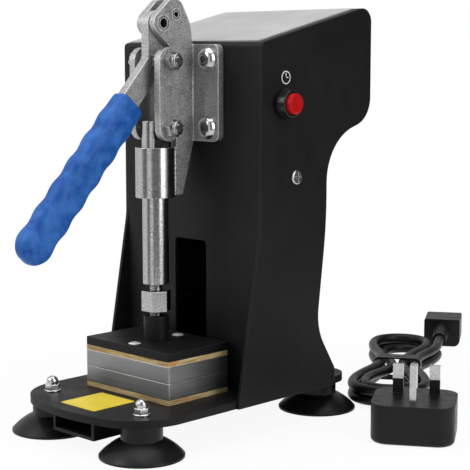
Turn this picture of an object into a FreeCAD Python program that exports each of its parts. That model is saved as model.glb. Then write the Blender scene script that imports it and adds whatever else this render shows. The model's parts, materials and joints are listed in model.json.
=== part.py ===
import FreeCAD, Part
import math
import os
from FreeCAD import Placement, Rotation, Vector

# Bench toggle press with two heated plates. Millimetres; x to the right, y to the back, z up.
# While it is drawn, the plunger axis is at x = y = 0 and the floor at z = 0.

# Feet and base plate
foot_height = 19.4
cup_radius = 25.0
cup_rim_width = 1.6
cup_rim_height = 1.2
cup_dome_height = 10.5
cup_dome_bulge = 0.6
cup_hollow = 5.5
cup_hollow_turn = 0.6
cup_hollow_level = 0.7
neck_radius = 12.3
stud_radius = 2.5
stud_flange_radius = 6.0
stud_flange_height = 2.0
stud_root = 12.0
washer_radius = 4.9
washer_height = 0.8
cap_nut_flats = 8.0
cap_nut_hex_height = 3.6
cap_nut_hex_turn = 12.0
cap_nut_height = 8.6
cap_nut_dome = 3.7
cap_nut_rounding = 3.3
cap_nut_wall = 1.5
base_thickness = 4.6
foot_x = 40.9
foot_front_y = -49.3
foot_rear_y = 104.2
base_front_reach = 14.7
base_front_corner = 35.0
base_nose_reach = 12.0
base_nose_radius = 120.0
base_rear_reach = 14.3
base_rear_corner = 16.0
hole_slack = 0.2

# Wiring duct under the base
duct_half_width = 18.6
duct_height = 12.0
duct_sheet = 2.0
duct_front_y = -66.5
duct_rear_y = 62.0
wire_hole_x = 12.0
wire_hole_y0 = 40.0
wire_hole_y1 = 56.0

# Housing
housing_half_width = 60.8
side_sheet = 2.0
cover_sheet = 2.0
front_y = 29.5
top_fall = 22.1
fold_radius = 3.0
cheek_top_z = 126.0
cheek_front_y = 10.2
cheek_radius = 40.0
rear_foot_y = 98.0
rear_foot_z = 31.0
knee_y = 80.5
knee_z = 58.7
knee_radius = 35.0
waist_y = 88.9
waist_height = 51.4
waist_low_radius = 280.0
head_flare = 13.5
waist_top_radius = 34.8
head_rear_y = 131.2
head_height = 68.9
head_under_radius = 17.8
crest_back = 9.7
crest_z = 257.8
crest_radius = 6.0
crest_corner_share = 0.87
slot_half_width = 14.0
slot_low_z = 32.0
slot_top_z = 114.5
slot_radius = 3.0
top_panel_thickness = 1.0
top_panel_margin = 2.0
top_panel_corner = 2.0
seam_y = 45.0
seam_drop = 31.8

# Cross brace and its side screws
brace_y = 59.7
brace_z = 154.9
brace_radius = 5.0
side_screw_radius = 2.5
side_screw_head = 4.5
side_screw_head_height = 1.8
side_screw_grip = 12.0

# Clamp fixing
clamp_screw_x = 20.5
clamp_screw_pitch = 41.2
clamp_screw_below_fold = 9.7
clamp_screw_radius = 4.0
clamp_screw_head = 7.0
clamp_screw_head_height = 4.4
clamp_screw_head_rim = 1.2
clamp_screw_crown_share = 0.78
clamp_screw_crown_round = 3.2
clamp_screw_socket_turn = 15.0
clamp_screw_socket = 5.0
clamp_screw_socket_depth = 2.6
clamp_screw_end = 1.5
clamp_nut_flats = 13.0
clamp_nut_height = 6.5
backing_plate = 4.0
backing_half_width = 33.0
backing_margin = 9.0

# Heated plates
platen_x = 75.0
platen_y = 50.0
insulator_thickness = 3.0
heat_plate_thickness = 10.0
top_plate_thickness = 5.0
platen_corner = 1.0
heater_radius = 3.0
heater_length = 40.0
heater_x = 22.0
sensor_radius = 2.0
sensor_length = 24.0
sensor_x = 9.0
lower_screw_x = 28.0
lower_screw_depth = 6.0
upper_screw_y = 18.0
upper_screw_radius = 2.0
upper_screw_head = 3.8
upper_screw_head_height = 2.0
upper_screw_rise = 0.9
upper_screw_crown_share = 0.5
upper_screw_crown_round = 6.0
upper_screw_depth = 5.0
recess_width = 0.9
recess_depth = 1.1
recess_share = 0.6
pan_round_share = 0.6

# Pressure screw and collar
collar_radius = 7.75
collar_height = 15.0
collar_floor = 1.5
screw_radius = 4.0
screw_neck = 3.0
screw_hex_flats = 16.0
screw_hex_turn = 2.0
screw_hex_height = 12.5
screw_gap = 4.5
screw_engage = 12.0
screw_bore_reserve = 6.0
screw_pitch = 1.25
screw_groove = 0.7
running_gap = 0.05

# Plunger and guide sleeve
rod_radius = 8.0
rod_above_pin = 3.9
rod_flat_half = 5.4
rod_flat_below_top = 9.3
sleeve_radius = 12.0
sleeve_length = 30.3
sleeve_below_flange = 3.2

# Toggle mechanism
pivot_above_screws = 21.3
crank_back = 0.0
crank_drop = 22.3
link_drop = 39.7
handle_half = 2.9
ear_half_gap = 3.2
clamp_sheet = 4.5
link_half_gap = 8.75
link_width = 16.0
bolt_radius = 3.0
bolt_head_flats = 10.0
bolt_head_height = 4.0
bolt_nut_hex_height = 5.4
bolt_nut_height = 8.0
bolt_nut_collar = 4.4
bolt_nut_round = 1.2
bolt_nut_turn = 20.0
bolt_end = 0.4
bolt_point = 0.7
spacer_radius = 5.5
pin_radius = 3.0
rivet_radius = 4.0
rivet_bore = 2.9
rivet_lip = 4.9
rivet_lip_height = 0.9
spacer_rivet_y = 10.3
spacer_rivet_rise = 5.3
spacer_rivet_radius = 2.9
spacer_rivet_bore = 1.7
spacer_rivet_lip = 3.7
spacer_tube_radius = 3.7

# Clamp frame
ear_nose_radius = 6.9
ear_nose_angle = 81.5
ear_top_y = 5.6
ear_crown_y = 14.2
ear_crown_rise = 14.7
ear_back_y = 22.6
ear_back_rise = 0.2
ear_root_y = 24.2
web_front_y = 10.7
web_low_rear_y = 15.8
web_rise = 1.0
web_corner = 2.0
ear_corner = 3.0
ear_crown_radius = 7.0
ear_back_radius = 25.0
flange_half_width = 29.1
flange_low_margin = 8.3
flange_top_margin = 9.0
flange_corner = 4.0
bend_outer = 5.5
bend_inner = 1.0

# Handle
handle_boss_width = 15.2
arm_width = 13.4
grip_angle = 47.5
grip_start = 30.1
grip_length = 119.0
grip_cover = 10.5
grip_width = 21.7
grip_sag = 1.4
grip_thick = 15.0
grip_wave = 1.1
grip_pitch = 17.6
grip_first_dent = 28.5
grip_flare = 20.0
grip_mouth_scale = 0.87
grip_corner_share = 0.45
grip_tip_shares = (0.4, 0.7, 0.9, 1.0)
grip_tip_end = 0.3

# Timer button on the right side
timer_y = 48.9
timer_drop = 58.1
timer_bezel_radius = 9.2
timer_bezel_height = 7.5
timer_bezel_lip = 2.5
timer_bezel_slope = 1.2
timer_bezel_round = 0.5
timer_cap_radius = 6.4
timer_cap_slack = 0.3
timer_cap_reach = 10.6
timer_cap_depth = 16.0
timer_cap_round = 1.6
timer_barrel_radius = 8.0
timer_barrel_depth = 24.0
timer_barrel_floor = 2.0
timer_nut_flats = 20.0
timer_nut_height = 4.0

# Power inlet, switch and fuse holder on the back of the head
rear_drop = 33.8
inlet_x = -26.0
inlet_flange_x = 48.0
inlet_flange_z = 23.0
inlet_flange_thickness = 2.5
inlet_body_x = 27.0
inlet_body_z = 19.6
inlet_body_depth = 26.0
inlet_wall = 1.4
inlet_floor = 3.0
inlet_corner = 4.0
inlet_inner_corner = 2.0
pin_blade_x = 2.0
pin_blade_z = 4.0
pin_blade_length = 15.0
pin_blade_root = 2.0
pin_side_x = 7.0
pin_side_z = 2.0
inlet_screw_x = 20.0
inlet_screw_radius = 1.5
inlet_screw_head = 2.6
inlet_screw_head_height = 1.8
inlet_screw_length = 8.0
switch_x = 20.0
switch_bezel_x = 15.0
switch_bezel_z = 21.0
switch_bezel_thickness = 2.0
switch_body_margin = 1.1
switch_depth = 14.0
switch_floor = 2.0
switch_corner = 1.5
rocker_half_x = 4.7
rocker_half_z = 7.0
rocker_slack = 0.4
rocker_tilt = 8.0
rocker_set_back = 1.0
rocker_front = 3.0
rocker_crown = 4.0
rocker_back = 4.0
rocker_back_half_z = 3.0
rocker_pin_radius = 1.5
rocker_pin_reach = 0.8
rocker_edge = 0.6
rocker_crown_radius = 12.0
fuse_x = 43.0
fuse_flange_radius = 8.0
fuse_flange_thickness = 2.0
fuse_cap_radius = 6.0
fuse_cap_height = 8.0
fuse_body_radius = 5.6
fuse_body_depth = 26.0
fuse_flange_round = 0.6
fuse_cap_round = 1.0

# Control board on the left side plate
board_y0 = 42.0
board_y1 = 78.0
board_z0 = 66.0
board_z1 = 142.0
board_thickness = 1.6
board_standoff = 8.0
standoff_radius = 3.0
standoff_inset = 4.0
transformer_x = 20.0
transformer_y = 26.0
transformer_z = 30.0
relay_x = 16.0
relay_y = 15.0
relay_z = 20.0

# Mains lead laid in a tied hank on the floor
lead_aside = -12.0
lead_behind = 99.0
lead_turn = 122.0
cable_radius = 3.4
cable_lift = 1.1
hank_half_turns = 6
hank_step = 8.0
hank_rise = 7.3
hank_half_length = 65.0
hank_end_half_width = 26.0
hank_waist_steps = 1.75
tie_thickness = 1.0
tie_length = 12.0
tie_corner = 3.0
relief_slots = 5
relief_slot = 1.5
relief_slot_depth = 1.2
tail_drop_start = 12.0
tail_drop_run = 22.0
tail_straight = 7.0
connector_start = 86.0
connector_height = 21.5
connector_relief = 30.0
connector_relief_tip = 5.0
connector_relief_root = 6.8
connector_body = 32.0
connector_width = 28.0
connector_corner = 5.0
connector_edge = 1.5
connector_slot_x = 18.0
plug_start = 105.0
plug_z = 8.5
plug_relief = 18.0
plug_relief_tip = 5.0
plug_relief_root = 7.0
plug_body = 48.0
plug_width = 50.0
plug_height = 24.0
plug_corner = 11.0
plug_edge = 3.0
plug_pin_wide = 6.35
plug_pin_thick = 4.0
plug_pin_length = 17.7
plug_pin_pitch = 22.2
plug_earth_wide = 8.0
plug_earth_length = 22.7
plug_earth_inset = 13.0
plug_pin_root = 6.0
plug_sleeve = 9.0
plug_sleeve_wall = 0.7

# Places that follow from the sizes above
base_top = foot_height + base_thickness
inner_half = housing_half_width - side_sheet
lower_plate_z = base_top + insulator_thickness
lower_face_z = lower_plate_z + heat_plate_thickness
upper_insulator_z = lower_face_z + heat_plate_thickness
top_plate_z = upper_insulator_z + insulator_thickness
collar_z = top_plate_z + top_plate_thickness
hex_z = collar_z + collar_height + screw_neck
hex_top_z = hex_z + screw_hex_height
rod_low_z = hex_top_z + screw_gap
crest_y = head_rear_y - crest_back
crest_corner = crest_back * crest_corner_share
front_top_z = crest_z - top_fall
head_under_z = crest_z - head_height
waist_top_z = head_under_z - head_flare
waist_low_z = waist_top_z - waist_height
seam_z = crest_z - seam_drop
timer_z = crest_z - timer_drop
rear_z = crest_z - rear_drop
clamp_screw_top_z = front_top_z - clamp_screw_below_fold
clamp_screw_low_z = clamp_screw_top_z - clamp_screw_pitch
flange_top_z = clamp_screw_top_z + flange_top_margin
flange_low_z = clamp_screw_low_z - flange_low_margin
sleeve_top_z = flange_low_z - sleeve_below_flange
sleeve_low_z = sleeve_top_z - sleeve_length
pivot_z = clamp_screw_top_z + pivot_above_screws
spacer_rivet_z = pivot_z + spacer_rivet_rise
ear_crown_z = pivot_z + ear_crown_rise
ear_back_z = pivot_z + ear_back_rise
pivot_a = (0.0, pivot_z)
pivot_b = (crank_back, pivot_z - crank_drop)
pivot_c = (0.0, pivot_z - crank_drop - link_drop)
rod_flat_z = sleeve_top_z - rod_flat_below_top
rod_top_z = pivot_c[1] + rod_above_pin
ear_outer = ear_half_gap + clamp_sheet
flange_front_y = front_y - clamp_sheet
clamp_hole_radius = clamp_screw_radius + hole_slack
link_outer = link_half_gap + clamp_sheet
slope = math.atan2(crest_z - front_top_z, crest_y - front_y)
arm_y = -math.cos(math.radians(grip_angle))
arm_z = -math.sin(math.radians(grip_angle))
hank_low_z = cable_lift + cable_radius
hank_top_z = hank_low_z + hank_rise
connector_z = hank_top_z
along_x = Vector(1, 0, 0)
along_y = Vector(0, 1, 0)
along_z = Vector(0, 0, 1)


def rounded_wire(corners, place):
    """Closed outline through (a, b, radius) corners, each one rounded by a tangent arc."""
    joints = []
    for i, (a, b, radius) in enumerate(corners):
        here = Vector(a, b, 0)
        before = Vector(corners[i - 1][0], corners[i - 1][1], 0)
        after = Vector(corners[(i + 1) % len(corners)][0], corners[(i + 1) % len(corners)][1], 0)
        back = (before - here).normalize()
        on = (after - here).normalize()
        half = back.getAngle(on) / 2
        reach = radius / math.tan(half)
        centre = here + (back + on).normalize() * (radius / math.sin(half))
        middle = centre + (here - centre).normalize() * radius if radius else here
        joints.append((here + back * reach, middle, here + on * reach, radius))
    edges = []
    for i, (start, middle, end, radius) in enumerate(joints):
        following = joints[(i + 1) % len(joints)][0]
        if radius:
            edges.append(Part.Arc(place(start), place(middle), place(end)).toShape())
        if (following - end).Length > 1e-6:
            edges.append(Part.makeLine(place(end), place(following)))
    return Part.Wire(edges)


def slab_yz(corners, x0, x1):
    wire = rounded_wire(corners, lambda p: Vector(x0, p.x, p.y))
    return Part.Face(wire).extrude(Vector(x1 - x0, 0, 0))


def slab_xz(corners, y0, y1):
    wire = rounded_wire(corners, lambda p: Vector(p.x, y0, p.y))
    return Part.Face(wire).extrude(Vector(0, y1 - y0, 0))


def slab_xy(corners, z0, z1):
    wire = rounded_wire(corners, lambda p: Vector(p.x, p.y, z0))
    return Part.Face(wire).extrude(Vector(0, 0, z1 - z0))


def box(x0, x1, y0, y1, z0, z1):
    return Part.makeBox(x1 - x0, y1 - y0, z1 - z0, Vector(x0, y0, z0))


def rectangle(a0, a1, b0, b1, radius=0.0):
    return [(a0, b0, radius), (a1, b0, radius), (a1, b1, radius), (a0, b1, radius)]


def rod(radius, start, axis, length):
    return Part.makeCylinder(radius, length, start, axis)


def turned(corners, centre, axis):
    """Solid of revolution: corners are (radius, height along the axis, rounding)."""
    wire = rounded_wire(corners, lambda p: Vector(p.x, 0, p.y))
    solid = Part.Face(wire).revolve(Vector(0, 0, 0), along_z, 360)
    solid.Placement = Placement(centre, Rotation(along_z, axis))
    return solid


def hexagon(flats, height, start, axis, turn=0.0):
    radius = flats / 2 / math.cos(math.radians(30))
    angles = [math.radians(turn + 60 * i) for i in range(7)]
    outline = Part.makePolygon([Vector(radius * math.cos(a), radius * math.sin(a), 0) for a in angles])
    solid = Part.Face(outline).extrude(Vector(0, 0, height))
    solid.Placement = Placement(start, Rotation(along_z, axis))
    return solid


def cross_recess(head_radius, top, seat, axis):
    arm = head_radius * recess_share
    half = recess_width / 2
    cross = box(-arm, arm, -half, half, top - recess_depth, top)
    cross = cross.fuse(box(-half, half, -arm, arm, top - recess_depth, top))
    cross.Placement = Placement(seat, Rotation(along_z, axis))
    return cross


def pan_screw(seat, axis, head_radius, head_height, shank_radius, shank_length):
    """Cross-recess pan-head screw: the head stands out along the axis, the shank runs the other way."""
    rounding = head_height * pan_round_share
    corners = [(0, 0, 0), (head_radius, 0, 0), (head_radius, head_height, rounding), (0, head_height, 0)]
    head = turned(corners, seat, axis).cut(cross_recess(head_radius, head_height, seat, axis))
    shank = rod(shank_radius, seat, axis * -1, shank_length)
    return head.fuse(shank).removeSplitter()


def countersunk_body(seat, axis, head_radius, head_height, shank_radius, shank_length):
    """Raised countersunk screw without its recess: the rim of the head is at the seat."""
    crown = head_radius * upper_screw_crown_share
    corners = [(0, upper_screw_rise, 0), (crown, upper_screw_rise, upper_screw_crown_round),
               (head_radius, 0, 0), (shank_radius, -head_height, 0),
               (shank_radius, -shank_length, 0), (0, -shank_length, 0)]
    return turned(corners, seat, axis)


def bar(p, q, width, x0, x1):
    """Flat bar with round ends between two (y, z) points."""
    reach = math.hypot(q[0] - p[0], q[1] - p[1])
    half = width / 2
    straight = slab_yz(rectangle(0, reach, -half, half), x0, x1)
    ends = [rod(half, Vector(x0, d, 0), along_x, x1 - x0) for d in (0.0, reach)]
    solid = straight.multiFuse(ends).removeSplitter()
    angle = math.degrees(math.atan2(q[1] - p[1], q[0] - p[0]))
    solid.Placement = Placement(Vector(0, p[0], p[1]), Rotation(along_x, angle))
    return solid


def mirrored(shape):
    return shape.mirror(Vector(0, 0, 0), along_x)


def group(shapes):
    return Part.makeCompound(shapes)


def make_feet(nodes):
    stud_top = base_top + washer_height + cap_nut_height - cap_nut_wall
    inner_rim = cup_radius - cup_rim_width
    dome_middle = Vector((cup_radius + neck_radius) / 2 + cup_dome_bulge, 0,
                         (cup_rim_height + cup_dome_height) / 2 + cup_dome_bulge)
    points = [Vector(0, 0, cup_hollow), Vector(inner_rim, 0, 0), Vector(cup_radius, 0, 0),
              Vector(cup_radius, 0, cup_rim_height), Vector(neck_radius, 0, cup_dome_height),
              Vector(neck_radius, 0, foot_height), Vector(0, 0, foot_height)]
    hollow_middle = Vector(inner_rim * cup_hollow_turn, 0, cup_hollow * cup_hollow_level)
    edges = [Part.Arc(points[0], hollow_middle, points[1]).toShape(), Part.makeLine(points[1], points[2]),
             Part.makeLine(points[2], points[3]), Part.Arc(points[3], dome_middle, points[4]).toShape(),
             Part.makeLine(points[4], points[5]), Part.makeLine(points[5], points[6]),
             Part.makeLine(points[6], points[0])]
    cup = Part.Face(Part.Wire(edges)).revolve(Vector(0, 0, 0), along_z, 360)
    stud = rod(stud_radius, Vector(0, 0, stud_root), along_z, stud_top - stud_root)
    stud = stud.fuse(rod(stud_flange_radius, Vector(0, 0, stud_root), along_z, stud_flange_height))
    stud = stud.removeSplitter()
    cup = cup.cut(stud)
    nut_z = base_top + washer_height
    dome = turned([(0, 0, 0), (cap_nut_dome, 0, 0), (cap_nut_dome, cap_nut_height, cap_nut_rounding),
                   (0, cap_nut_height, 0)], Vector(0, 0, nut_z), along_z)
    cap = hexagon(cap_nut_flats, cap_nut_hex_height, Vector(0, 0, nut_z), along_z, cap_nut_hex_turn)
    cap = cap.fuse(dome)
    cap = cap.cut(stud)
    washer = rod(washer_radius, Vector(0, 0, base_top), along_z, washer_height).cut(stud)
    places = {"foot_front_left": Vector(-foot_x, foot_front_y, 0),
              "foot_front_right": Vector(foot_x, foot_front_y, 0),
              "foot_rear_left": Vector(-foot_x, foot_rear_y, 0),
              "foot_rear_right": Vector(foot_x, foot_rear_y, 0)}
    for name, place in places.items():
        nodes[name] = cup.translated(place)
    nodes["foot_studs"] = group([stud.translated(p) for p in places.values()])
    nodes["foot_cap_nuts"] = group([piece.translated(p) for p in places.values()
                                    for piece in (cap, washer)])
    return list(places.values())


def make_base(nodes, foot_places):
    corner_y = foot_front_y - base_front_reach
    nose_y = corner_y - base_nose_reach
    rear_y = foot_rear_y + base_rear_reach
    outline = [(inner_half, corner_y, base_front_corner), (inner_half, rear_y, base_rear_corner),
               (-inner_half, rear_y, base_rear_corner), (-inner_half, corner_y, base_front_corner),
               (0, nose_y, base_nose_radius)]
    plate = slab_xy(outline, foot_height, base_top)
    for place in foot_places:
        plate = plate.cut(rod(stud_radius, place, along_z, base_top))
    for side in (-1, 1):
        plate = plate.cut(rod(side_screw_radius, Vector(side * lower_screw_x, 0, 0), along_z, base_top))
    hole = rectangle(-wire_hole_x, wire_hole_x, wire_hole_y0, wire_hole_y1, slot_radius)
    nodes["base_plate"] = plate.cut(slab_xy(hole, foot_height, base_top))
    duct_z = foot_height - duct_height
    duct = box(-duct_half_width, duct_half_width, duct_front_y, duct_rear_y, duct_z, foot_height)
    inside = duct_half_width - duct_sheet
    opening = box(-inside, inside, duct_front_y, duct_rear_y, duct_z + duct_sheet, foot_height)
    nodes["wiring_duct"] = duct.cut(opening)


def rear_profile():
    return [(rear_foot_y, rear_foot_z, fold_radius), (knee_y, knee_z, knee_radius),
            (waist_y, waist_low_z, waist_low_radius), (waist_y, waist_top_z, waist_top_radius),
            (head_rear_y, head_under_z, head_under_radius), (head_rear_y, crest_z, crest_corner),
            (crest_y, crest_z, crest_radius), (front_y, front_top_z, fold_radius)]


def clamp_screw_places():
    return [(x, z) for x in (-clamp_screw_x, clamp_screw_x) for z in (clamp_screw_low_z, clamp_screw_top_z)]


def make_housing(nodes):
    cheek = [(front_y, cheek_top_z, cheek_radius), (cheek_front_y, foot_height, 0),
             (rear_foot_y, foot_height, 0)]
    side = slab_yz(cheek + rear_profile(), inner_half, housing_half_width)
    side = side.cut(rod(side_screw_radius, Vector(inner_half, brace_y, brace_z), along_x, side_sheet))
    board_screws = [(y, z) for y in (board_y0 + standoff_inset, board_y1 - standoff_inset)
                    for z in (board_z0 + standoff_inset, board_z1 - standoff_inset)]
    nodes["left_side_plate"] = mirrored(side)
    timer_hole = rod(timer_barrel_radius, Vector(inner_half, timer_y, timer_z), along_x, side_sheet)
    nodes["right_side_plate"] = side.cut(timer_hole)

    floor = base_top - cover_sheet
    body = [(front_y, floor, 0), (rear_foot_y, floor, 0)] + rear_profile()
    outer = Part.Face(rounded_wire(body, lambda p: Vector(-inner_half, p.x, p.y)))
    inner = outer.makeOffset2D(-cover_sheet)
    shell = outer.cut(inner).extrude(Vector(2 * inner_half, 0, 0))
    beyond_rear = head_rear_y + cover_sheet
    beyond_crest = crest_z + cover_sheet
    shell = shell.common(box(-inner_half, inner_half, 0, beyond_rear, base_top, beyond_crest))
    front_side = [(0, 0, 0), (seam_y, 0, 0), (seam_y, seam_z, 0), (crest_y, seam_z, 0),
                  (crest_y, beyond_crest, 0), (0, beyond_crest, 0)]
    front_space = slab_yz(front_side, -inner_half, inner_half)
    front = shell.common(front_space)
    rear = shell.cut(front_space)
    slot = rectangle(-slot_half_width, slot_half_width, slot_low_z, slot_top_z, slot_radius)
    front = front.cut(slab_xz(slot, front_y, front_y + cover_sheet))
    for x, z in clamp_screw_places():
        front = front.cut(rod(clamp_hole_radius, Vector(x, front_y, z), along_y, cover_sheet))
    nodes["front_cover"] = front

    inside_y = head_rear_y - cover_sheet
    half_x, half_z = inlet_body_x / 2, inlet_body_z / 2
    low_z, top_z = rear_z - half_z, rear_z + half_z
    rear = rear.cut(box(inlet_x - half_x, inlet_x + half_x, inside_y, head_rear_y, low_z, top_z))
    half_x = switch_bezel_x / 2 - switch_body_margin
    half_z = switch_bezel_z / 2 - switch_body_margin
    low_z, top_z = rear_z - half_z, rear_z + half_z
    rear = rear.cut(box(switch_x - half_x, switch_x + half_x, inside_y, head_rear_y, low_z, top_z))
    fuse_place = Vector(fuse_x, inside_y, rear_z)
    rear = rear.cut(rod(fuse_body_radius + running_gap, fuse_place, along_y, cover_sheet))
    for side_x in (-inlet_screw_x, inlet_screw_x):
        place = Vector(inlet_x + side_x, inside_y, rear_z)
        rear = rear.cut(rod(inlet_screw_radius, place, along_y, cover_sheet))
    nodes["rear_cover"] = rear

    run = (crest_y - front_y) / math.cos(slope)
    wide = inner_half - top_panel_margin
    outline = rectangle(-wide, wide, top_panel_margin, run - 2 * top_panel_margin, top_panel_corner)
    panel = slab_xy(outline, 0, top_panel_thickness)
    panel.Placement = Placement(Vector(0, front_y, front_top_z), Rotation(along_x, math.degrees(slope)))
    nodes["top_panel"] = panel

    brace = rod(brace_radius, Vector(-inner_half, brace_y, brace_z), along_x, 2 * inner_half)
    screws = []
    for sign in (-1, 1):
        seat = Vector(sign * housing_half_width, brace_y, brace_z)
        screw = pan_screw(seat, along_x * sign, side_screw_head, side_screw_head_height, side_screw_radius,
                          side_screw_grip)
        brace = brace.cut(rod(side_screw_radius, seat, along_x * -sign, side_screw_grip))
        screws.append(screw)
    nodes["cross_brace"] = brace
    nodes["side_screws"] = group(screws)

    board_x = -inner_half + board_standoff
    nodes["control_board"] = box(board_x, board_x + board_thickness, board_y0, board_y1, board_z0, board_z1)
    standoffs = [rod(standoff_radius, Vector(-inner_half, y, z), along_x, board_standoff)
                 for y, z in board_screws]
    nodes["board_standoffs"] = group(standoffs)
    face_x = board_x + board_thickness
    middle_y = (board_y0 + board_y1) / 2
    low_z = board_z0 + standoff_inset * 2
    transformer = box(face_x, face_x + transformer_x, middle_y - transformer_y / 2,
                      middle_y + transformer_y / 2, low_z, low_z + transformer_z)
    relay_low = low_z + transformer_z + standoff_inset
    relay = box(face_x, face_x + relay_x, middle_y - relay_y / 2, middle_y + relay_y / 2,
                relay_low, relay_low + relay_z)
    nodes["board_components"] = group([transformer, relay])


def make_clamp_fixing(nodes):
    inside_y = front_y + cover_sheet
    low = clamp_screw_low_z - backing_margin
    high = min(clamp_screw_top_z + backing_margin, front_top_z - fold_radius)
    plate_outline = rectangle(-backing_half_width, backing_half_width, low, high, flange_corner)
    plate = slab_xz(plate_outline, inside_y, inside_y + backing_plate)
    nut_y = inside_y + backing_plate
    screws, nuts = [], []
    for x, z in clamp_screw_places():
        seat = Vector(x, flange_front_y, z)
        length = nut_y + clamp_nut_height + clamp_screw_end - flange_front_y
        crown = clamp_screw_head * clamp_screw_crown_share
        dome = [(0, 0, 0), (clamp_screw_head, 0, 0), (clamp_screw_head, clamp_screw_head_rim, 0),
                (crown, clamp_screw_head_height, clamp_screw_crown_round), (0, clamp_screw_head_height, 0)]
        head = turned(dome, seat, along_y * -1)
        top = Vector(x, flange_front_y - clamp_screw_head_height, z)
        socket = hexagon(clamp_screw_socket, clamp_screw_socket_depth, top, along_y,
                         clamp_screw_socket_turn)
        shank = rod(clamp_screw_radius, seat, along_y, length)
        screws.append(head.fuse(shank).removeSplitter().cut(socket))
        nuts.append(hexagon(clamp_nut_flats, clamp_nut_height, Vector(x, nut_y, z), along_y).cut(shank))
        plate = plate.cut(rod(clamp_hole_radius, seat, along_y, length))
    nodes["clamp_screws"] = group(screws)
    nodes["clamp_nuts"] = group(nuts)
    nodes["clamp_backing_plate"] = plate


def make_platens(nodes):
    half_x, half_y = platen_x / 2, platen_y / 2
    outline = rectangle(-half_x, half_x, -half_y, half_y, platen_corner)
    lower_insulator = slab_xy(outline, base_top, lower_plate_z)
    lower_plate = slab_xy(outline, lower_plate_z, lower_face_z)
    upper_plate = slab_xy(outline, lower_face_z, upper_insulator_z)
    upper_insulator = slab_xy(outline, upper_insulator_z, top_plate_z)
    top_plate = slab_xy(outline, top_plate_z, collar_z)

    lower_screws = []
    for sign in (-1, 1):
        seat = Vector(sign * lower_screw_x, 0, foot_height)
        length = lower_plate_z + lower_screw_depth - foot_height
        lower_screws.append(pan_screw(seat, along_z * -1, side_screw_head, side_screw_head_height,
                                      side_screw_radius, length))
        hole = rod(side_screw_radius, seat, along_z, length)
        lower_insulator = lower_insulator.cut(hole)
        lower_plate = lower_plate.cut(hole)
    upper_screws = []
    for sign in (-1, 1):
        seat = Vector(0, sign * upper_screw_y, collar_z)
        length = top_plate_thickness + insulator_thickness + upper_screw_depth
        body = countersunk_body(seat, along_z, upper_screw_head, upper_screw_head_height,
                                upper_screw_radius, length)
        upper_screws.append(body.cut(cross_recess(upper_screw_head, upper_screw_rise, seat, along_z)))
        top_plate = top_plate.cut(body)
        upper_insulator = upper_insulator.cut(body)
        upper_plate = upper_plate.cut(body)

    middle = heat_plate_thickness / 2
    for name, plate_z in (("lower", lower_plate_z), ("upper", lower_face_z)):
        bore_z = plate_z + middle
        heaters = [rod(heater_radius, Vector(sign * heater_x, half_y, bore_z), along_y * -1, heater_length)
                   for sign in (-1, 1)]
        sensor = rod(sensor_radius, Vector(sensor_x, half_y, bore_z), along_y * -1, sensor_length)
        nodes[name + "_heating"] = group(heaters + [sensor])
        for bore in heaters + [sensor]:
            if name == "lower":
                lower_plate = lower_plate.cut(bore)
            else:
                upper_plate = upper_plate.cut(bore)
    nodes["lower_insulator"] = lower_insulator
    nodes["lower_plate"] = lower_plate
    nodes["lower_screws"] = group(lower_screws)
    nodes["upper_plate"] = upper_plate
    nodes["upper_insulator"] = upper_insulator
    nodes["upper_top_plate"] = top_plate
    nodes["upper_screws"] = group(upper_screws)
    bore = rod(screw_radius + running_gap, Vector(0, 0, collar_z + collar_floor), along_z, collar_height)
    nodes["platen_collar"] = rod(collar_radius, Vector(0, 0, collar_z), along_z, collar_height).cut(bore)


def make_plunger(nodes):
    stud_low = collar_z + collar_floor + running_gap
    stud_top = rod_low_z + screw_engage
    stud = rod(screw_radius, Vector(0, 0, stud_low), along_z, stud_top - stud_low)
    crest = screw_radius + running_gap
    groove = [(screw_radius - screw_groove, 0, 0), (crest, -screw_pitch / 2, 0),
              (crest, screw_pitch / 2, 0)]
    for low, high in ((collar_z + collar_height, hex_z), (hex_top_z, rod_low_z)):
        for turn in range(math.floor((high - low) / screw_pitch)):
            middle = low + (turn + 0.5) * screw_pitch
            stud = stud.cut(turned(groove, Vector(0, 0, middle), along_z))
    head = hexagon(screw_hex_flats, screw_hex_height, Vector(0, 0, hex_z), along_z, screw_hex_turn)
    nodes["pressure_screw"] = stud.fuse(head)

    plunger = rod(rod_radius, Vector(0, 0, rod_low_z), along_z, rod_top_z - rod_low_z)
    for sign in (-1, 1):
        inner, outer = sorted((sign * rod_flat_half, sign * rod_radius))
        plunger = plunger.cut(box(inner, outer, -rod_radius, rod_radius, rod_flat_z, rod_top_z))
    bore_length = screw_engage + screw_bore_reserve
    plunger = plunger.cut(rod(screw_radius + running_gap, Vector(0, 0, rod_low_z), along_z, bore_length))
    pin_half = link_half_gap - running_gap
    pin = rod(pin_radius, Vector(-pin_half, pivot_c[0], pivot_c[1]), along_x, 2 * pin_half)
    nodes["plunger_pin"] = pin
    nodes["plunger_rod"] = plunger.cut(pin)
    sleeve = rod(sleeve_radius, Vector(0, 0, sleeve_low_z), along_z, sleeve_top_z - sleeve_low_z)
    bore = rod(rod_radius + running_gap, Vector(0, 0, sleeve_low_z), along_z, sleeve_top_z - sleeve_low_z)
    nodes["guide_sleeve"] = sleeve.cut(bore)


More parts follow.
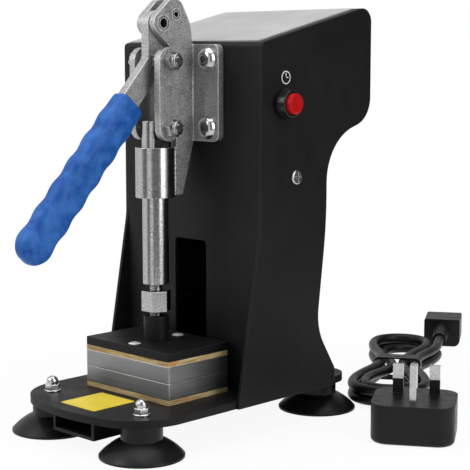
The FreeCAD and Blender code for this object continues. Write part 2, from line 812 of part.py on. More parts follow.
def make_frame(nodes):
    half = math.radians(ear_nose_angle / 2)
    nose = (pivot_a[0] - ear_nose_radius / math.sin(half), pivot_z, ear_nose_radius)
    rise = math.tan(half)
    top = (ear_top_y, pivot_z + (ear_top_y - nose[0]) * rise, ear_corner)
    notch = (web_front_y, pivot_z - (web_front_y - nose[0]) * rise, ear_corner)
    low_z = sleeve_low_z + web_rise
    web = [nose, notch, (web_front_y, sleeve_top_z, 0), (0, sleeve_top_z, 0), (0, low_z, 0),
           (web_low_rear_y, low_z, web_corner), (flange_front_y, flange_low_z, 0),
           (flange_front_y, flange_top_z, 0), (ear_root_y, flange_top_z + web_rise, 0),
           (ear_back_y, ear_back_z, ear_back_radius), (ear_crown_y, ear_crown_z, ear_crown_radius), top]
    plate = slab_yz(web, ear_half_gap, ear_outer)
    fold = [(ear_half_gap, web_front_y, 0), (ear_outer, web_front_y, 0),
            (ear_outer, flange_front_y, bend_inner), (flange_half_width, flange_front_y, 0),
            (flange_half_width, front_y, 0), (ear_half_gap, front_y, bend_outer)]
    flange = slab_xy(fold, flange_low_z, flange_top_z)
    trim = slab_xz(rectangle(0, flange_half_width, flange_low_z, flange_top_z, flange_corner), 0, front_y)
    whole = box(0, flange_half_width / 2, 0, front_y, flange_low_z, flange_top_z)
    flange = flange.common(trim.fuse(whole))
    frame = plate.fuse(flange).removeSplitter()
    frame = frame.cut(rod(sleeve_radius, Vector(0, 0, sleeve_low_z), along_z, sleeve_top_z - sleeve_low_z))
    for screw_x, z in clamp_screw_places():
        if screw_x > 0:
            frame = frame.cut(rod(clamp_hole_radius, Vector(screw_x, 0, z), along_y, front_y))
    frame = frame.cut(rod(rivet_radius, Vector(0, pivot_a[0], pivot_z), along_x, ear_outer))
    spacer_hole = Vector(0, spacer_rivet_y, spacer_rivet_z)
    frame = frame.cut(rod(spacer_rivet_radius, spacer_hole, along_x, ear_outer))
    nodes["clamp_frame_right"] = frame
    nodes["clamp_frame_left"] = mirrored(frame)

    reach = ear_outer + rivet_lip_height
    rivet = rod(rivet_radius, Vector(-reach, 0, pivot_z), along_x, 2 * reach)
    for sign in (-1, 1):
        lip = Vector(sign * ear_outer, 0, pivot_z)
        rivet = rivet.fuse(rod(rivet_lip, lip, along_x * sign, rivet_lip_height))
    rivet = rivet.cut(rod(rivet_bore, Vector(-reach, 0, pivot_z), along_x, 2 * reach))
    nodes["pivot_rivet"] = rivet.removeSplitter()
    place = Vector(-reach, spacer_rivet_y, spacer_rivet_z)
    spacer = rod(spacer_rivet_radius, place, along_x, 2 * reach)
    for sign in (-1, 1):
        lip = Vector(sign * ear_outer, spacer_rivet_y, spacer_rivet_z)
        spacer = spacer.fuse(rod(spacer_rivet_lip, lip, along_x * sign, rivet_lip_height))
    middle = Vector(-ear_half_gap, spacer_rivet_y, spacer_rivet_z)
    spacer = spacer.fuse(rod(spacer_tube_radius, middle, along_x, 2 * ear_half_gap))
    nodes["spacer_rivet"] = spacer.cut(rod(spacer_rivet_bore, place, along_x, 2 * reach)).removeSplitter()


def arm_point(distance):
    return (pivot_b[0] + arm_y * distance, pivot_b[1] + arm_z * distance)


def make_handle(nodes):
    crank = bar(pivot_a, pivot_b, handle_boss_width, -handle_half, handle_half)
    arm_end = arm_point(grip_start + grip_length - grip_cover - arm_width / 2)
    arm = bar(pivot_b, arm_end, arm_width, -handle_half, handle_half)
    handle = crank.fuse(arm).removeSplitter()
    pivot = Vector(-handle_half, 0, pivot_z)
    handle = handle.cut(rod(rivet_radius + running_gap, pivot, along_x, 2 * handle_half))
    hole = Vector(-handle_half, pivot_b[0], pivot_b[1])
    handle = handle.cut(rod(bolt_radius + running_gap, hole, along_x, 2 * handle_half))
    nodes["handle_bar"] = handle

    straight = grip_length - grip_cover
    stations = 4 * round(straight / grip_pitch)
    sections = []
    for i in range(stations + 1):
        height = straight * i / stations
        flare = min(1.0, height / grip_flare)
        scale = grip_mouth_scale + (1 - grip_mouth_scale) * math.sin(flare * math.pi / 2)
        wave = grip_wave * flare * math.cos(2 * math.pi * (height - grip_first_dent) / grip_pitch)
        sections.append((height, grip_width * scale - wave, grip_thick * scale))
    for share in grip_tip_shares:
        shrink = math.sqrt(1 + grip_tip_end * grip_tip_end - share * share)
        sections.append((straight + grip_cover * share, grip_width * shrink, grip_thick * shrink))
    wires = []
    for height, width, thick in sections:
        corner = thick * grip_corner_share
        wires.append(rounded_wire(rectangle(-thick / 2, thick / 2, -width / 2, width / 2, corner),
                                  lambda p, h=height: Vector(p.x, p.y, h)))
    grip = Part.makeLoft(wires, True, False)
    start = arm_point(grip_start)
    sunk = Vector(0, start[0] - arm_z * grip_sag, start[1] + arm_y * grip_sag)
    grip.Placement = Placement(sunk, Rotation(along_x, 90 + grip_angle))
    nodes["handle_grip"] = grip.cut(arm)


def pointed_bolt(start, length):
    """Shank along +X with a bevelled end."""
    corners = [(0, 0, 0), (bolt_radius, 0, 0), (bolt_radius, length - bolt_point, 0),
               (bolt_radius - bolt_point, length, 0), (0, length, 0)]
    return turned(corners, start, along_x)


def make_links(nodes):
    link = bar(pivot_b, pivot_c, link_width, link_half_gap, link_outer)
    nuts = []
    nut_end = link_outer + bolt_nut_height
    through = pointed_bolt(Vector(-link_outer, *pivot_b), link_outer + nut_end + bolt_end)
    stub_length = nut_end + bolt_end - link_half_gap
    right_stub = pointed_bolt(Vector(link_half_gap, *pivot_c), stub_length)
    left_stub = rod(bolt_radius, Vector(-link_outer, *pivot_c), along_x, clamp_sheet)
    for y, z in (pivot_b, pivot_c):
        link = link.cut(rod(bolt_radius, Vector(0, y, z), along_x, link_outer))
        seat = Vector(link_outer, y, z)
        nut = hexagon(bolt_head_flats, bolt_nut_hex_height, seat, along_x, bolt_nut_turn)
        collar = [(0, 0, 0), (bolt_nut_collar, 0, 0), (bolt_nut_collar, bolt_nut_height, bolt_nut_round),
                  (0, bolt_nut_height, 0)]
        nut = nut.fuse(turned(collar, seat, along_x))
        nuts.append(nut.cut(rod(bolt_radius, Vector(0, y, z), along_x, nut_end + bolt_end)))
    left_face = Vector(-link_outer, 0, 0)
    head = hexagon(bolt_head_flats, bolt_head_height, left_face, along_x * -1, bolt_nut_turn)
    heads = [head.translated(Vector(0, y, z)) for y, z in (pivot_b, pivot_c)]
    bolts = [through.fuse(heads[0]), right_stub, left_stub.fuse(heads[1])]
    nodes["link_right"] = link
    nodes["link_left"] = mirrored(link)
    nodes["link_bolts"] = group(bolts)
    nodes["link_nuts"] = group(nuts)
    spacer = rod(spacer_radius, Vector(ear_half_gap, *pivot_b), along_x, link_half_gap - ear_half_gap)
    spacer = spacer.cut(rod(bolt_radius, Vector(0, *pivot_b), along_x, link_outer))
    nodes["link_spacers"] = group([spacer, mirrored(spacer)])


def make_timer(nodes):
    centre = Vector(housing_half_width, timer_y, timer_z)
    bore = timer_cap_radius + timer_cap_slack
    floor = timer_barrel_floor - timer_barrel_depth
    rim = timer_bezel_radius - timer_bezel_slope
    body = [(bore, timer_bezel_height, 0), (rim, timer_bezel_height, timer_bezel_round),
            (timer_bezel_radius, timer_bezel_lip, timer_bezel_round), (timer_bezel_radius, 0, 0),
            (timer_barrel_radius, 0, 0), (timer_barrel_radius, -timer_barrel_depth, 0),
            (0, -timer_barrel_depth, 0), (0, floor, 0), (bore, floor, 0)]
    nodes["timer_body"] = turned(body, centre, along_x)
    cap = [(0, -timer_cap_depth, 0), (timer_cap_radius, -timer_cap_depth, 0),
           (timer_cap_radius, timer_cap_reach, timer_cap_round), (0, timer_cap_reach, 0)]
    nodes["timer_cap"] = turned(cap, centre, along_x)
    nut = hexagon(timer_nut_flats, timer_nut_height, Vector(inner_half, timer_y, timer_z), along_x * -1)
    barrel = rod(timer_barrel_radius, centre, along_x * -1, timer_barrel_depth)
    nodes["timer_nut"] = nut.cut(barrel)


def make_rear(nodes):
    mouth_y = head_rear_y + inlet_flange_thickness
    half_x, half_z = inlet_flange_x / 2, inlet_flange_z / 2
    flange = rectangle(inlet_x - half_x, inlet_x + half_x, rear_z - half_z, rear_z + half_z, inlet_corner)
    inlet = slab_xz(flange, head_rear_y, mouth_y)
    half_x, half_z = inlet_body_x / 2, inlet_body_z / 2
    back_y = head_rear_y - inlet_body_depth
    low_z, top_z = rear_z - half_z, rear_z + half_z
    inlet = inlet.fuse(box(inlet_x - half_x, inlet_x + half_x, back_y, head_rear_y, low_z, top_z))
    cavity = rectangle(inlet_x - half_x + inlet_wall, inlet_x + half_x - inlet_wall, low_z + inlet_wall,
                       top_z - inlet_wall, inlet_inner_corner)
    floor_y = back_y + inlet_floor
    inlet = inlet.cut(slab_xz(cavity, floor_y, mouth_y)).removeSplitter()
    blades, screws = [], []
    for x, z in ((-pin_side_x, -pin_side_z), (0.0, pin_side_z), (pin_side_x, -pin_side_z)):
        middle_x, middle_z = inlet_x + x, rear_z + z
        blades.append(box(middle_x - pin_blade_x / 2, middle_x + pin_blade_x / 2,
                          floor_y - pin_blade_root, floor_y + pin_blade_length,
                          middle_z - pin_blade_z / 2, middle_z + pin_blade_z / 2))
    for blade in blades:
        inlet = inlet.cut(blade)
    for x in (-inlet_screw_x, inlet_screw_x):
        seat = Vector(inlet_x + x, mouth_y, rear_z)
        screw = pan_screw(seat, along_y, inlet_screw_head, inlet_screw_head_height, inlet_screw_radius,
                          inlet_screw_length)
        screws.append(screw)
        inlet = inlet.cut(rod(inlet_screw_radius, seat, along_y * -1, inlet_screw_length))
    nodes["inlet_body"] = inlet
    nodes["inlet_pins"] = group(blades)
    nodes["inlet_screws"] = group(screws)

    bezel_y = head_rear_y + switch_bezel_thickness
    half_x, half_z = switch_bezel_x / 2, switch_bezel_z / 2
    bezel = rectangle(switch_x - half_x, switch_x + half_x, rear_z - half_z, rear_z + half_z, switch_corner)
    frame = slab_xz(bezel, head_rear_y, bezel_y)
    half_x -= switch_body_margin
    half_z -= switch_body_margin
    back_y = head_rear_y - switch_depth
    low_z, top_z = rear_z - half_z, rear_z + half_z
    frame = frame.fuse(box(switch_x - half_x, switch_x + half_x, back_y, head_rear_y, low_z, top_z))
    space_x = rocker_half_x + rocker_slack
    space_z = rocker_half_z + 2 * rocker_slack
    frame = frame.cut(box(switch_x - space_x, switch_x + space_x, back_y + switch_floor, bezel_y,
                          rear_z - space_z, rear_z + space_z)).removeSplitter()
    hinge_y = head_rear_y - rocker_set_back
    pin_half = space_x + rocker_pin_reach
    pin_start = Vector(switch_x - pin_half, hinge_y, rear_z)
    frame = frame.cut(rod(rocker_pin_radius + running_gap, pin_start, along_x, 2 * pin_half))
    nodes["switch_frame"] = frame
    profile = [(-rocker_back, -rocker_back_half_z, 0), (-rocker_back, rocker_back_half_z, 0),
               (rocker_front, rocker_half_z, rocker_edge), (rocker_crown, 0, rocker_crown_radius),
               (rocker_front, -rocker_half_z, rocker_edge)]
    rocker = slab_yz(profile, switch_x - rocker_half_x, switch_x + rocker_half_x)
    rocker.Placement = Placement(Vector(0, hinge_y, rear_z), Rotation(along_x, -rocker_tilt))
    pin_length = 2 * (pin_half - running_gap)
    pin_start = Vector(switch_x - pin_half + running_gap, hinge_y, rear_z)
    pin = rod(rocker_pin_radius, pin_start, along_x, pin_length)
    nodes["power_rocker"] = rocker.fuse(pin).removeSplitter()

    cap_end = fuse_flange_thickness + fuse_cap_height
    holder = [(0, -fuse_body_depth, 0), (fuse_body_radius, -fuse_body_depth, 0), (fuse_body_radius, 0, 0),
              (fuse_flange_radius, 0, 0), (fuse_flange_radius, fuse_flange_thickness, fuse_flange_round),
              (0, fuse_flange_thickness, 0)]
    cap = [(0, fuse_flange_thickness, 0), (fuse_cap_radius, fuse_flange_thickness, 0),
           (fuse_cap_radius, cap_end, fuse_cap_round), (0, cap_end, 0)]
    place = Vector(fuse_x, head_rear_y, rear_z)
    nodes["fuse_holder"] = group([turned(holder, place, along_y), turned(cap, place, along_y)])


def arc_edge(start, heading, end):
    """Arc that leaves start along heading and reaches end, or a line when they are in line."""
    chord = end - start
    length = chord.Length
    unit = chord * (1 / length)
    side = heading - unit * heading.dot(unit)
    if side.Length < 1e-7:
        return Part.makeLine(start, end)
    turn = 2 * math.atan2(side.Length, heading.dot(unit))
    middle = (start + end) * 0.5 + side.normalize() * (length / 2 * math.tan(turn / 4))
    return Part.Arc(start, middle, end).toShape()


def biarc(start, heading, end, arrival):
    """Two arcs of like reach that join the two points with the given headings."""
    gap = start - end
    total = heading + arrival
    a = 2 * (heading.dot(arrival) - 1)
    b = 2 * gap.dot(total)
    c = gap.dot(gap)
    if abs(a) < 1e-9:
        reach = -c / b
    else:
        reach = (-b - math.sqrt(b * b - 4 * a * c)) / (2 * a)
    middle = (start + heading * reach + end - arrival * reach) * 0.5
    way = (end - arrival * reach - start - heading * reach).normalize()
    return [arc_edge(start, heading, middle), arc_edge(middle, way, end)]


def hank_route():
    """Stations of the lead from the connector to the plug: points and headings, x along the hank."""
    waist = hank_waist_steps * hank_step
    forward, back = Vector(1, 0, 0), Vector(-1, 0, 0)
    right = -hank_end_half_width
    route = [(Vector(connector_start, right, connector_z), back)]
    route.append((Vector(connector_start - tail_straight, right, connector_z), back))
    for k in range(hank_half_turns + 1):
        inset = hank_step * min(k, hank_half_turns - k) / 2
        sign = -1 if k % 2 == 0 else 1
        heading = back if k % 2 == 0 else forward
        first = hank_half_length * -heading.x
        middle_turn = hank_half_turns // 2
        start_z = hank_top_z if k <= middle_turn else hank_low_z
        end_z = hank_top_z if k < middle_turn else hank_low_z
        tilt = Vector(heading.x, 0, 1.5 * (end_z - start_z) / (2 * hank_half_length)).normalize()
        wide = sign * (hank_end_half_width - inset)
        route.append((Vector(first, wide, start_z), heading))
        route.append((Vector(0, sign * (waist - inset), (start_z + end_z) / 2), tilt))
        route.append((Vector(-first, wide, end_z), heading))
        if k < hank_half_turns:
            next_inset = hank_step * min(k + 1, hank_half_turns - k - 1) / 2
            next_wide = -sign * (hank_end_half_width - next_inset)
            radius = abs(wide - next_wide) / 2
            tip = Vector(-first + heading.x * radius, (wide + next_wide) / 2, end_z)
            route.append((tip, Vector(0, -sign, 0)))
    tail = -hank_half_length - tail_drop_start
    route.append((Vector(tail, right, hank_low_z), back))
    route.append((Vector(tail - tail_drop_run, right, plug_z), back))
    route.append((Vector(-plug_start, right, plug_z), back))
    return route


def slotted_relief(tip_radius, root_radius, length, tip, axis):
    """Tapered strain relief with ring slots that let it bend: the axis runs from its tip to its root."""
    relief = Part.makeCone(tip_radius, root_radius, length, tip, axis)
    step = length / (relief_slots + 1)
    for i in range(relief_slots):
        low = tip + axis * (step * (i + 1) - relief_slot / 2)
        ring = rod(root_radius, low, axis, relief_slot)
        relief = relief.cut(ring.cut(rod(tip_radius - relief_slot_depth, low, axis, relief_slot)))
    return relief


def make_lead(nodes):
    route = hank_route()
    edges = []
    for (start, heading), (end, arrival) in zip(route, route[1:]):
        straight = (end - start).normalize()
        if straight.dot(heading) > 1 - 1e-9 and straight.dot(arrival) > 1 - 1e-9:
            edges.append(Part.makeLine(start, end))
        else:
            edges.extend(biarc(start, heading, end, arrival))
    path = Part.Wire(edges)
    points, marks, run = [], [], 0.0
    for edge in edges:
        count = max(2, int(edge.Length / 2.0))
        for i in range(count):
            share = i / count
            points.append(edge.valueAt(edge.FirstParameter * (1 - share) + edge.LastParameter * share))
            marks.append(run + edge.Length * share)
        run += edge.Length
    least = min((points[i] - points[j]).Length for i in range(len(points)) for j in range(i)
                if marks[i] - marks[j] > 8 * cable_radius)
    print("lead length", round(run, 1), "least gap to itself", round(least - 2 * cable_radius, 2))
    pipe = Part.BRepOffsetAPI.MakePipeShell(path)
    pipe.add(Part.Wire(Part.makeCircle(cable_radius, route[0][0], route[0][1])))
    pipe.build()
    pipe.makeSolid()
    right = -hank_end_half_width
    pieces = {"lead_hank": pipe.shape()}

    waist = hank_waist_steps * hank_step
    dip = hank_end_half_width - waist
    bend = (hank_half_length * hank_half_length + dip * dip) / (4 * dip)
    half = tie_length / 2
    ease = half * half / (2 * bend) + running_gap
    low_y = -waist - cable_radius - ease
    high_y = waist - hank_step / 2 + cable_radius + ease
    low_z = hank_low_z - cable_radius
    high_z = hank_top_z + cable_radius
    outer = rectangle(low_y - tie_thickness, high_y + tie_thickness, low_z - tie_thickness,
                      high_z + tie_thickness, tie_corner + tie_thickness)
    inner = rectangle(low_y, high_y, low_z, high_z, tie_corner)
    pieces["lead_tie"] = slab_yz(outer, -half, half).cut(slab_yz(inner, -half, half))

    relief_end = connector_start + connector_relief
    relief = slotted_relief(connector_relief_tip, connector_relief_root, connector_relief,
                            Vector(connector_start, right, connector_z), along_x)
    half = connector_width / 2
    outline = [(right - half, 0, connector_corner), (right + half, 0, connector_corner),
               (right + half, connector_height, connector_edge),
               (right - half, connector_height, connector_edge)]
    body_end = relief_end + connector_body
    connector = relief.fuse(slab_yz(outline, relief_end, body_end)).removeSplitter()
    for x, z in ((-pin_side_x, pin_side_z), (0.0, -pin_side_z), (pin_side_x, pin_side_z)):
        wide, tall = pin_blade_x / 2 + hole_slack, pin_blade_z / 2 + hole_slack
        middle = connector_height / 2 + z
        slot = box(body_end - connector_slot_x, body_end, right + x - wide, right + x + wide,
                   middle - tall, middle + tall)
        connector = connector.cut(slot)
    pieces["lead_connector"] = connector

    relief_tip = Vector(-plug_start, right, plug_z)
    relief = slotted_relief(plug_relief_tip, plug_relief_root, plug_relief, relief_tip, along_x * -1)
    near = -plug_start - plug_relief
    far = near - plug_body
    half = plug_width / 2
    outline = [(near, right - half, plug_corner), (near, right + half, plug_corner),
               (far, right + half, plug_corner), (far, right - half, plug_corner)]
    body = slab_xy(outline, 0, plug_height)
    body = body.makeFillet(plug_edge, [e for e in body.Edges if e.BoundBox.ZMax < 0.001])
    plug = body.fuse(relief).removeSplitter()
    earth_x = far + plug_earth_inset
    root_z = plug_height - plug_pin_root
    earth = box(earth_x - plug_earth_wide / 2, earth_x + plug_earth_wide / 2, right - plug_pin_thick / 2,
                right + plug_pin_thick / 2, root_z, plug_height + plug_earth_length)
    pins = [earth]
    sleeve_z = plug_height + plug_sleeve
    core_thick = plug_pin_thick / 2 - plug_sleeve_wall
    core_wide = plug_pin_wide / 2 - plug_sleeve_wall
    for sign in (-1, 1):
        x, y = earth_x + plug_pin_pitch, right + sign * plug_pin_pitch / 2
        sides = (x - plug_pin_thick / 2, x + plug_pin_thick / 2, y - plug_pin_wide / 2, y + plug_pin_wide / 2)
        core = box(x - core_thick, x + core_thick, y - core_wide, y + core_wide, root_z, sleeve_z)
        pins.append(core.fuse(box(*sides, sleeve_z, plug_height + plug_pin_length)).removeSplitter())
        plug = plug.fuse(box(*sides, plug_height, sleeve_z))
    for pin in pins:
        plug = plug.cut(pin)
    pieces["lead_plug"] = plug
    pieces["lead_pins"] = group(pins)
    place = Vector(foot_x + lead_aside, foot_rear_y + lead_behind, 0)
    laid = Placement(place, Rotation(along_z, lead_turn))
    for name, shape in pieces.items():
        shape.Placement = laid.multiply(shape.Placement)
        nodes[name] = shape
    return list(pieces)


def main():
    nodes = {}
    foot_places = make_feet(nodes)
    make_base(nodes, foot_places)
    make_housing(nodes)
    make_clamp_fixing(nodes)
    make_platens(nodes)
    make_plunger(nodes)
    make_frame(nodes)
    make_handle(nodes)
    make_links(nodes)
    make_timer(nodes)
    make_rear(nodes)
    lead_names = make_lead(nodes)
    bounds = FreeCAD.BoundBox()
    for name, shape in nodes.items():
        if name not in lead_names:
            bounds.add(shape.optimalBoundingBox(False))
    shift = Vector(-bounds.Center.x, -bounds.Center.y, -bounds.ZMin)
    print("size", round(bounds.XLength, 2), round(bounds.YLength, 2), round(bounds.ZLength, 2))
    print("shift", round(shift.x, 4), round(shift.y, 4), round(shift.z, 4))
    os.makedirs("parts", exist_ok=True)
    for name, shape in sorted(nodes.items()):
        shape.translate(shift)
        volume = sum(solid.Volume for solid in shape.Solids)
        state = "valid" if shape.isValid() else "NOT VALID"
        print(name, len(shape.Solids), "solids", round(volume, 1), state)
        shape.exportStep("parts/" + name + ".step")
    print(len(nodes), "nodes")


main()
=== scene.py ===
# %% [markdown]
# # A bench toggle press with two heated plates
# A long blue lever pushes a plunger down through a toggle clamp and closes one warm plate on another.
# The CAD model has every piece in its place already, so this lesson leaves those shapes alone. It adds
# a camera, finishes made of nodes, a lead wound in a hank, a softer grip, a few thin details and light.

# %% Load the frame
import json
import math

import bmesh
import bpy
from mathutils import Matrix, Vector


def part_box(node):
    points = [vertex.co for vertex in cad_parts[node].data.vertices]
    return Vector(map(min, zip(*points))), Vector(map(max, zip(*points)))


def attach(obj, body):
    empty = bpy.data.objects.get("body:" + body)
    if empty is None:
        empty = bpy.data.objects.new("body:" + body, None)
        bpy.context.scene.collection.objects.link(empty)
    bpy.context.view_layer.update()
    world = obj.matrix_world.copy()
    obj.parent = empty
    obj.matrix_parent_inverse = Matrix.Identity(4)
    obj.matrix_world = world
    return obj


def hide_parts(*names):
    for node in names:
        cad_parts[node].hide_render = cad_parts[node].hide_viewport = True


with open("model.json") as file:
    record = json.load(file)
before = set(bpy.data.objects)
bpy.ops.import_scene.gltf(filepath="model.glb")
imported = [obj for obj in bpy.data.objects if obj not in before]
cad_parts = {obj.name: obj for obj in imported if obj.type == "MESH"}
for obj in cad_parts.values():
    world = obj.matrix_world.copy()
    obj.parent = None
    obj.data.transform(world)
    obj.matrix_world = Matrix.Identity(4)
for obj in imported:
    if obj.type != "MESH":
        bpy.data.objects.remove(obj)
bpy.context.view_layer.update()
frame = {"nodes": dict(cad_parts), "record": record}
nodes = frame["nodes"]
scene = bpy.context.scene

# %% [markdown]
# ## Where things are
# A maker measures this press from the plunger, because everything that moves is set out around it.
# Numbers could be given from the frame's own zero, but that moves when the outside size changes. The
# box of the plunger rod tells where its axis is, so each place below is in millimetres from that axis
# and from the floor.

# %% Places
MM = 0.001
rod_low, rod_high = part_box("plunger_rod")
axis_x = (rod_low.x + rod_high.x) / 2
axis_y = (rod_low.y + rod_high.y) / 2


def at(x, y, z):
    """A place in millimetres from the plunger axis and the floor, as a point in the frame."""
    return Vector((axis_x + x * MM, axis_y + y * MM, z * MM))


print("plunger axis at", round(axis_x, 4), round(axis_y, 4))

# %% [markdown]
# ## Camera
# The photo was taken from the front right, a little above the plates, with a long lens that keeps the
# upright edges nearly parallel. A camera can be aimed at an empty with a constraint. Here it is placed
# and turned by numbers, because they were fitted to corners that can be found in the photo.

# %% Camera
LENS, FILM_WIDTH = 102.92, 36
CAMERA_PLACE = (602.0, -549.0, 226.4)
LOOK_DOWN, LOOK_ROUND = 7.48, 44.23
camera_data = bpy.data.cameras.new("camera")
camera_data.sensor_width = FILM_WIDTH
camera_data.lens = LENS
camera = bpy.data.objects.new("camera", camera_data)
camera.location = at(*CAMERA_PLACE)
camera.rotation_euler = (math.radians(90 - LOOK_DOWN), 0, math.radians(LOOK_ROUND))
scene.collection.objects.link(camera)
scene.camera = camera
scene.view_settings.view_transform = "Standard"
print("camera lens", camera_data.lens, "mm")

# %% [markdown]
# ## A finish as a small class
# Every finish on this press is one Principled shader with a little noise in its colour and gloss.
# The nodes could be wired by hand for each, but the same few moves come back every time. This class
# keeps one material's tree and shader together, and the next two steps add the moves to it.

# %% Shader
class Shader:
    """One material with its node tree and its main shader."""

    def __init__(self, name, colour, rough, metal=0.0):
        self.material = bpy.data.materials.new(name)
        self.material.use_nodes = True
        self.tree = self.material.node_tree
        self.shader = self.tree.nodes["Principled BSDF"]
        self.rounded = None
        self.set("Base Color", (*colour, 1))
        self.set("Roughness", rough)
        self.set("Metallic", metal)
        self.where = self.tree.nodes.new("ShaderNodeTexCoord").outputs["Object"]

    def set(self, socket, value):
        self.shader.inputs[socket].default_value = value

    def join(self, output, socket):
        self.tree.links.new(output, socket)

    def colour(self, output):
        self.join(output, self.shader.inputs["Base Color"])

    def rough(self, output):
        self.join(output, self.shader.inputs["Roughness"])


def grey(level):
    return (level, level, level)


finishes = {}
print("shader class ready")

# %% [markdown]
# ## Noise turned into colour
# Paint, zinc and rubber are never one flat colour: dust, grain and the marks of a tool vary them. Photos
# of such skins could be wrapped round each piece, but they blur close up and show their seams. Noise in
# the shader has neither fault, and stretching its coordinates draws it out into brushed lines.

# %% Textured shader
NOISE_ROUGHNESS = 0.6


class Textured(Shader):
    """A shader with textures, which give numbers or colours."""

    def stretched(self, x, y, z):
        """The place of a point, scaled along each axis to draw out the grain."""
        made = self.tree.nodes.new("ShaderNodeMapping")
        made.inputs["Scale"].default_value = (x, y, z)
        self.join(self.where, made.inputs["Vector"])
        return made.outputs["Vector"]

    def noise(self, scale, detail=4.0, where=None):
        made = self.tree.nodes.new("ShaderNodeTexNoise")
        made.inputs["Scale"].default_value = scale
        made.inputs["Detail"].default_value = detail
        made.inputs["Roughness"].default_value = NOISE_ROUGHNESS
        self.join(where or self.where, made.inputs["Vector"])
        return made.outputs["Fac"]

    def levels(self, value, low, high, at_low=0.3, at_high=0.7):
        """Plain numbers between two values of a texture."""
        made = self.tree.nodes.new("ShaderNodeMapRange")
        for name, number in (("From Min", at_low), ("From Max", at_high), ("To Min", low), ("To Max", high)):
            made.inputs[name].default_value = number
        self.join(value, made.inputs["Value"])
        return made.outputs["Result"]

    def colours(self, value, low, high, at_low=0.3, at_high=0.7):
        """Colours between two values of a texture."""
        made = self.tree.nodes.new("ShaderNodeValToRGB")
        for stop, place, colour in zip(made.color_ramp.elements, (at_low, at_high), (low, high)):
            stop.position = place
            stop.color = (*colour, 1)
        self.join(value, made.inputs["Fac"])
        return made.outputs["Color"]

    def blend(self, share, first, second):
        """A plain colour laid over a varied one where a mask says so."""
        made = self.tree.nodes.new("ShaderNodeMix")
        made.data_type = "RGBA"
        self.join(share, made.inputs[0])
        self.join(first, made.inputs[6])
        made.inputs[7].default_value = (*second, 1)
        return made.outputs[2]


print("textures ready")

# %% [markdown]
# ## Edges, holes and bumps
# Light catches an edge and shade fills a hole, so edges here get a painted highlight and holes get painted
# shade. Both could be painted on by hand. The Bevel node knows how near an edge a point is, and the Ambient
# Occlusion node knows how deep in a hole it lies, so the painted highlight and shade land in the right place
# on every piece.

# %% Finish
SHARP, FLAT = 0.72, 0.97
HIDDEN, OPEN = 0.1, 0.52


class Finish(Textured):
    """A textured shader with painted highlights on edges, painted shade in holes and a fine relief."""

    def edge(self, radius):
        """Rounds sharp edges for the light, and returns how near an edge a point is, 0 to 1."""
        bevel = self.tree.nodes.new("ShaderNodeBevel")
        bevel.samples = 6
        bevel.inputs["Radius"].default_value = radius
        flat = self.tree.nodes.new("ShaderNodeNewGeometry")
        dot = self.tree.nodes.new("ShaderNodeVectorMath")
        dot.operation = "DOT_PRODUCT"
        self.join(bevel.outputs["Normal"], dot.inputs[0])
        self.join(flat.outputs["Normal"], dot.inputs[1])
        self.rounded = bevel.outputs["Normal"]
        return self.levels(dot.outputs["Value"], 1.0, 0.0, SHARP, FLAT)

    def recess(self, reach):
        """How deep in a hole or a crack a point lies, 0 to 1."""
        made = self.tree.nodes.new("ShaderNodeAmbientOcclusion")
        made.samples = 8
        made.inputs["Distance"].default_value = reach
        return self.levels(made.outputs["AO"], 1.0, 0.0, HIDDEN, OPEN)

    def bump(self, height, strength, distance):
        made = self.tree.nodes.new("ShaderNodeBump")
        made.inputs["Strength"].default_value = strength
        made.inputs["Distance"].default_value = distance
        self.join(height, made.inputs["Height"])
        if self.rounded:
            self.join(self.rounded, made.inputs["Normal"])
        self.join(made.outputs["Normal"], self.shader.inputs["Normal"])


print("finish class ready")

# %% [markdown]
# ## Black powder coat
# The base, the housing and the collar are sprayed with powder and baked, which leaves a satin black
# skin like very fine orange peel. A bought texture could show it, but noise made in the shader stays
# sharp at any distance. The edges and bends of each sheet are painted a hair paler, a painted highlight.

# %% Black powder coat
coat = Finish("black_paint", (0.007, 0.007, 0.0075), 0.46)
coat.set("Specular IOR Level", 0.17)
# Sharp edges and bends are painted paler: a painted highlight.
coat_edge_highlight = coat.edge(0.0007)
cloud = coat.colours(coat.noise(22), (0.0055, 0.0055, 0.006), (0.009, 0.009, 0.0095))
coat.colour(coat.blend(coat_edge_highlight, cloud, (0.04, 0.04, 0.041)))
coat.rough(coat.levels(coat.noise(60), 0.42, 0.54))
coat.bump(coat.noise(2600, 2), 0.16, 0.0002)
finishes["black_paint"] = coat.material
print("powder coat ready")

# %% [markdown]
# ## Pale top panel
# A thin pale sheet lies on the sloping top. It is matt, and its rim is painted darker than its face, a
# painted shade for the thin gap at its edge. The rim could be a second piece, but the edge mask of the
# shader paints the shade without more mesh.

# %% Pale top panel
panel = Finish("grey_panel", grey(0.42), 0.44)
# The rim is painted dark: painted shade for the gap at the panel's edge.
rim = panel.edge(0.0015)
tone = panel.colours(panel.noise(30), grey(0.37), grey(0.46))
panel.colour(panel.blend(rim, tone, grey(0.15)))
panel.rough(panel.levels(panel.noise(900), 0.36, 0.5))
panel.bump(panel.noise(3000, 2), 0.1, 0.0001)
finishes["grey_panel"] = panel.material
print("top panel ready")

# %% [markdown]
# ## Zinc plated sheet
# The ears, the links and the lever bar are pressed from thick sheet and dipped in a dull zinc bath.
# A pure metal shader would mirror the black housing and go dark. Real dull zinc also scatters light,
# so the shader is only part metal, with a low speckle. Its edges are painted softly bright, a painted
# highlight, and its hollows and the gaps between parts are painted dark, a painted shade.

# %% Zinc plated sheet
zinc = Finish("zinc_steel", grey(0.36), 0.4, 0.85)
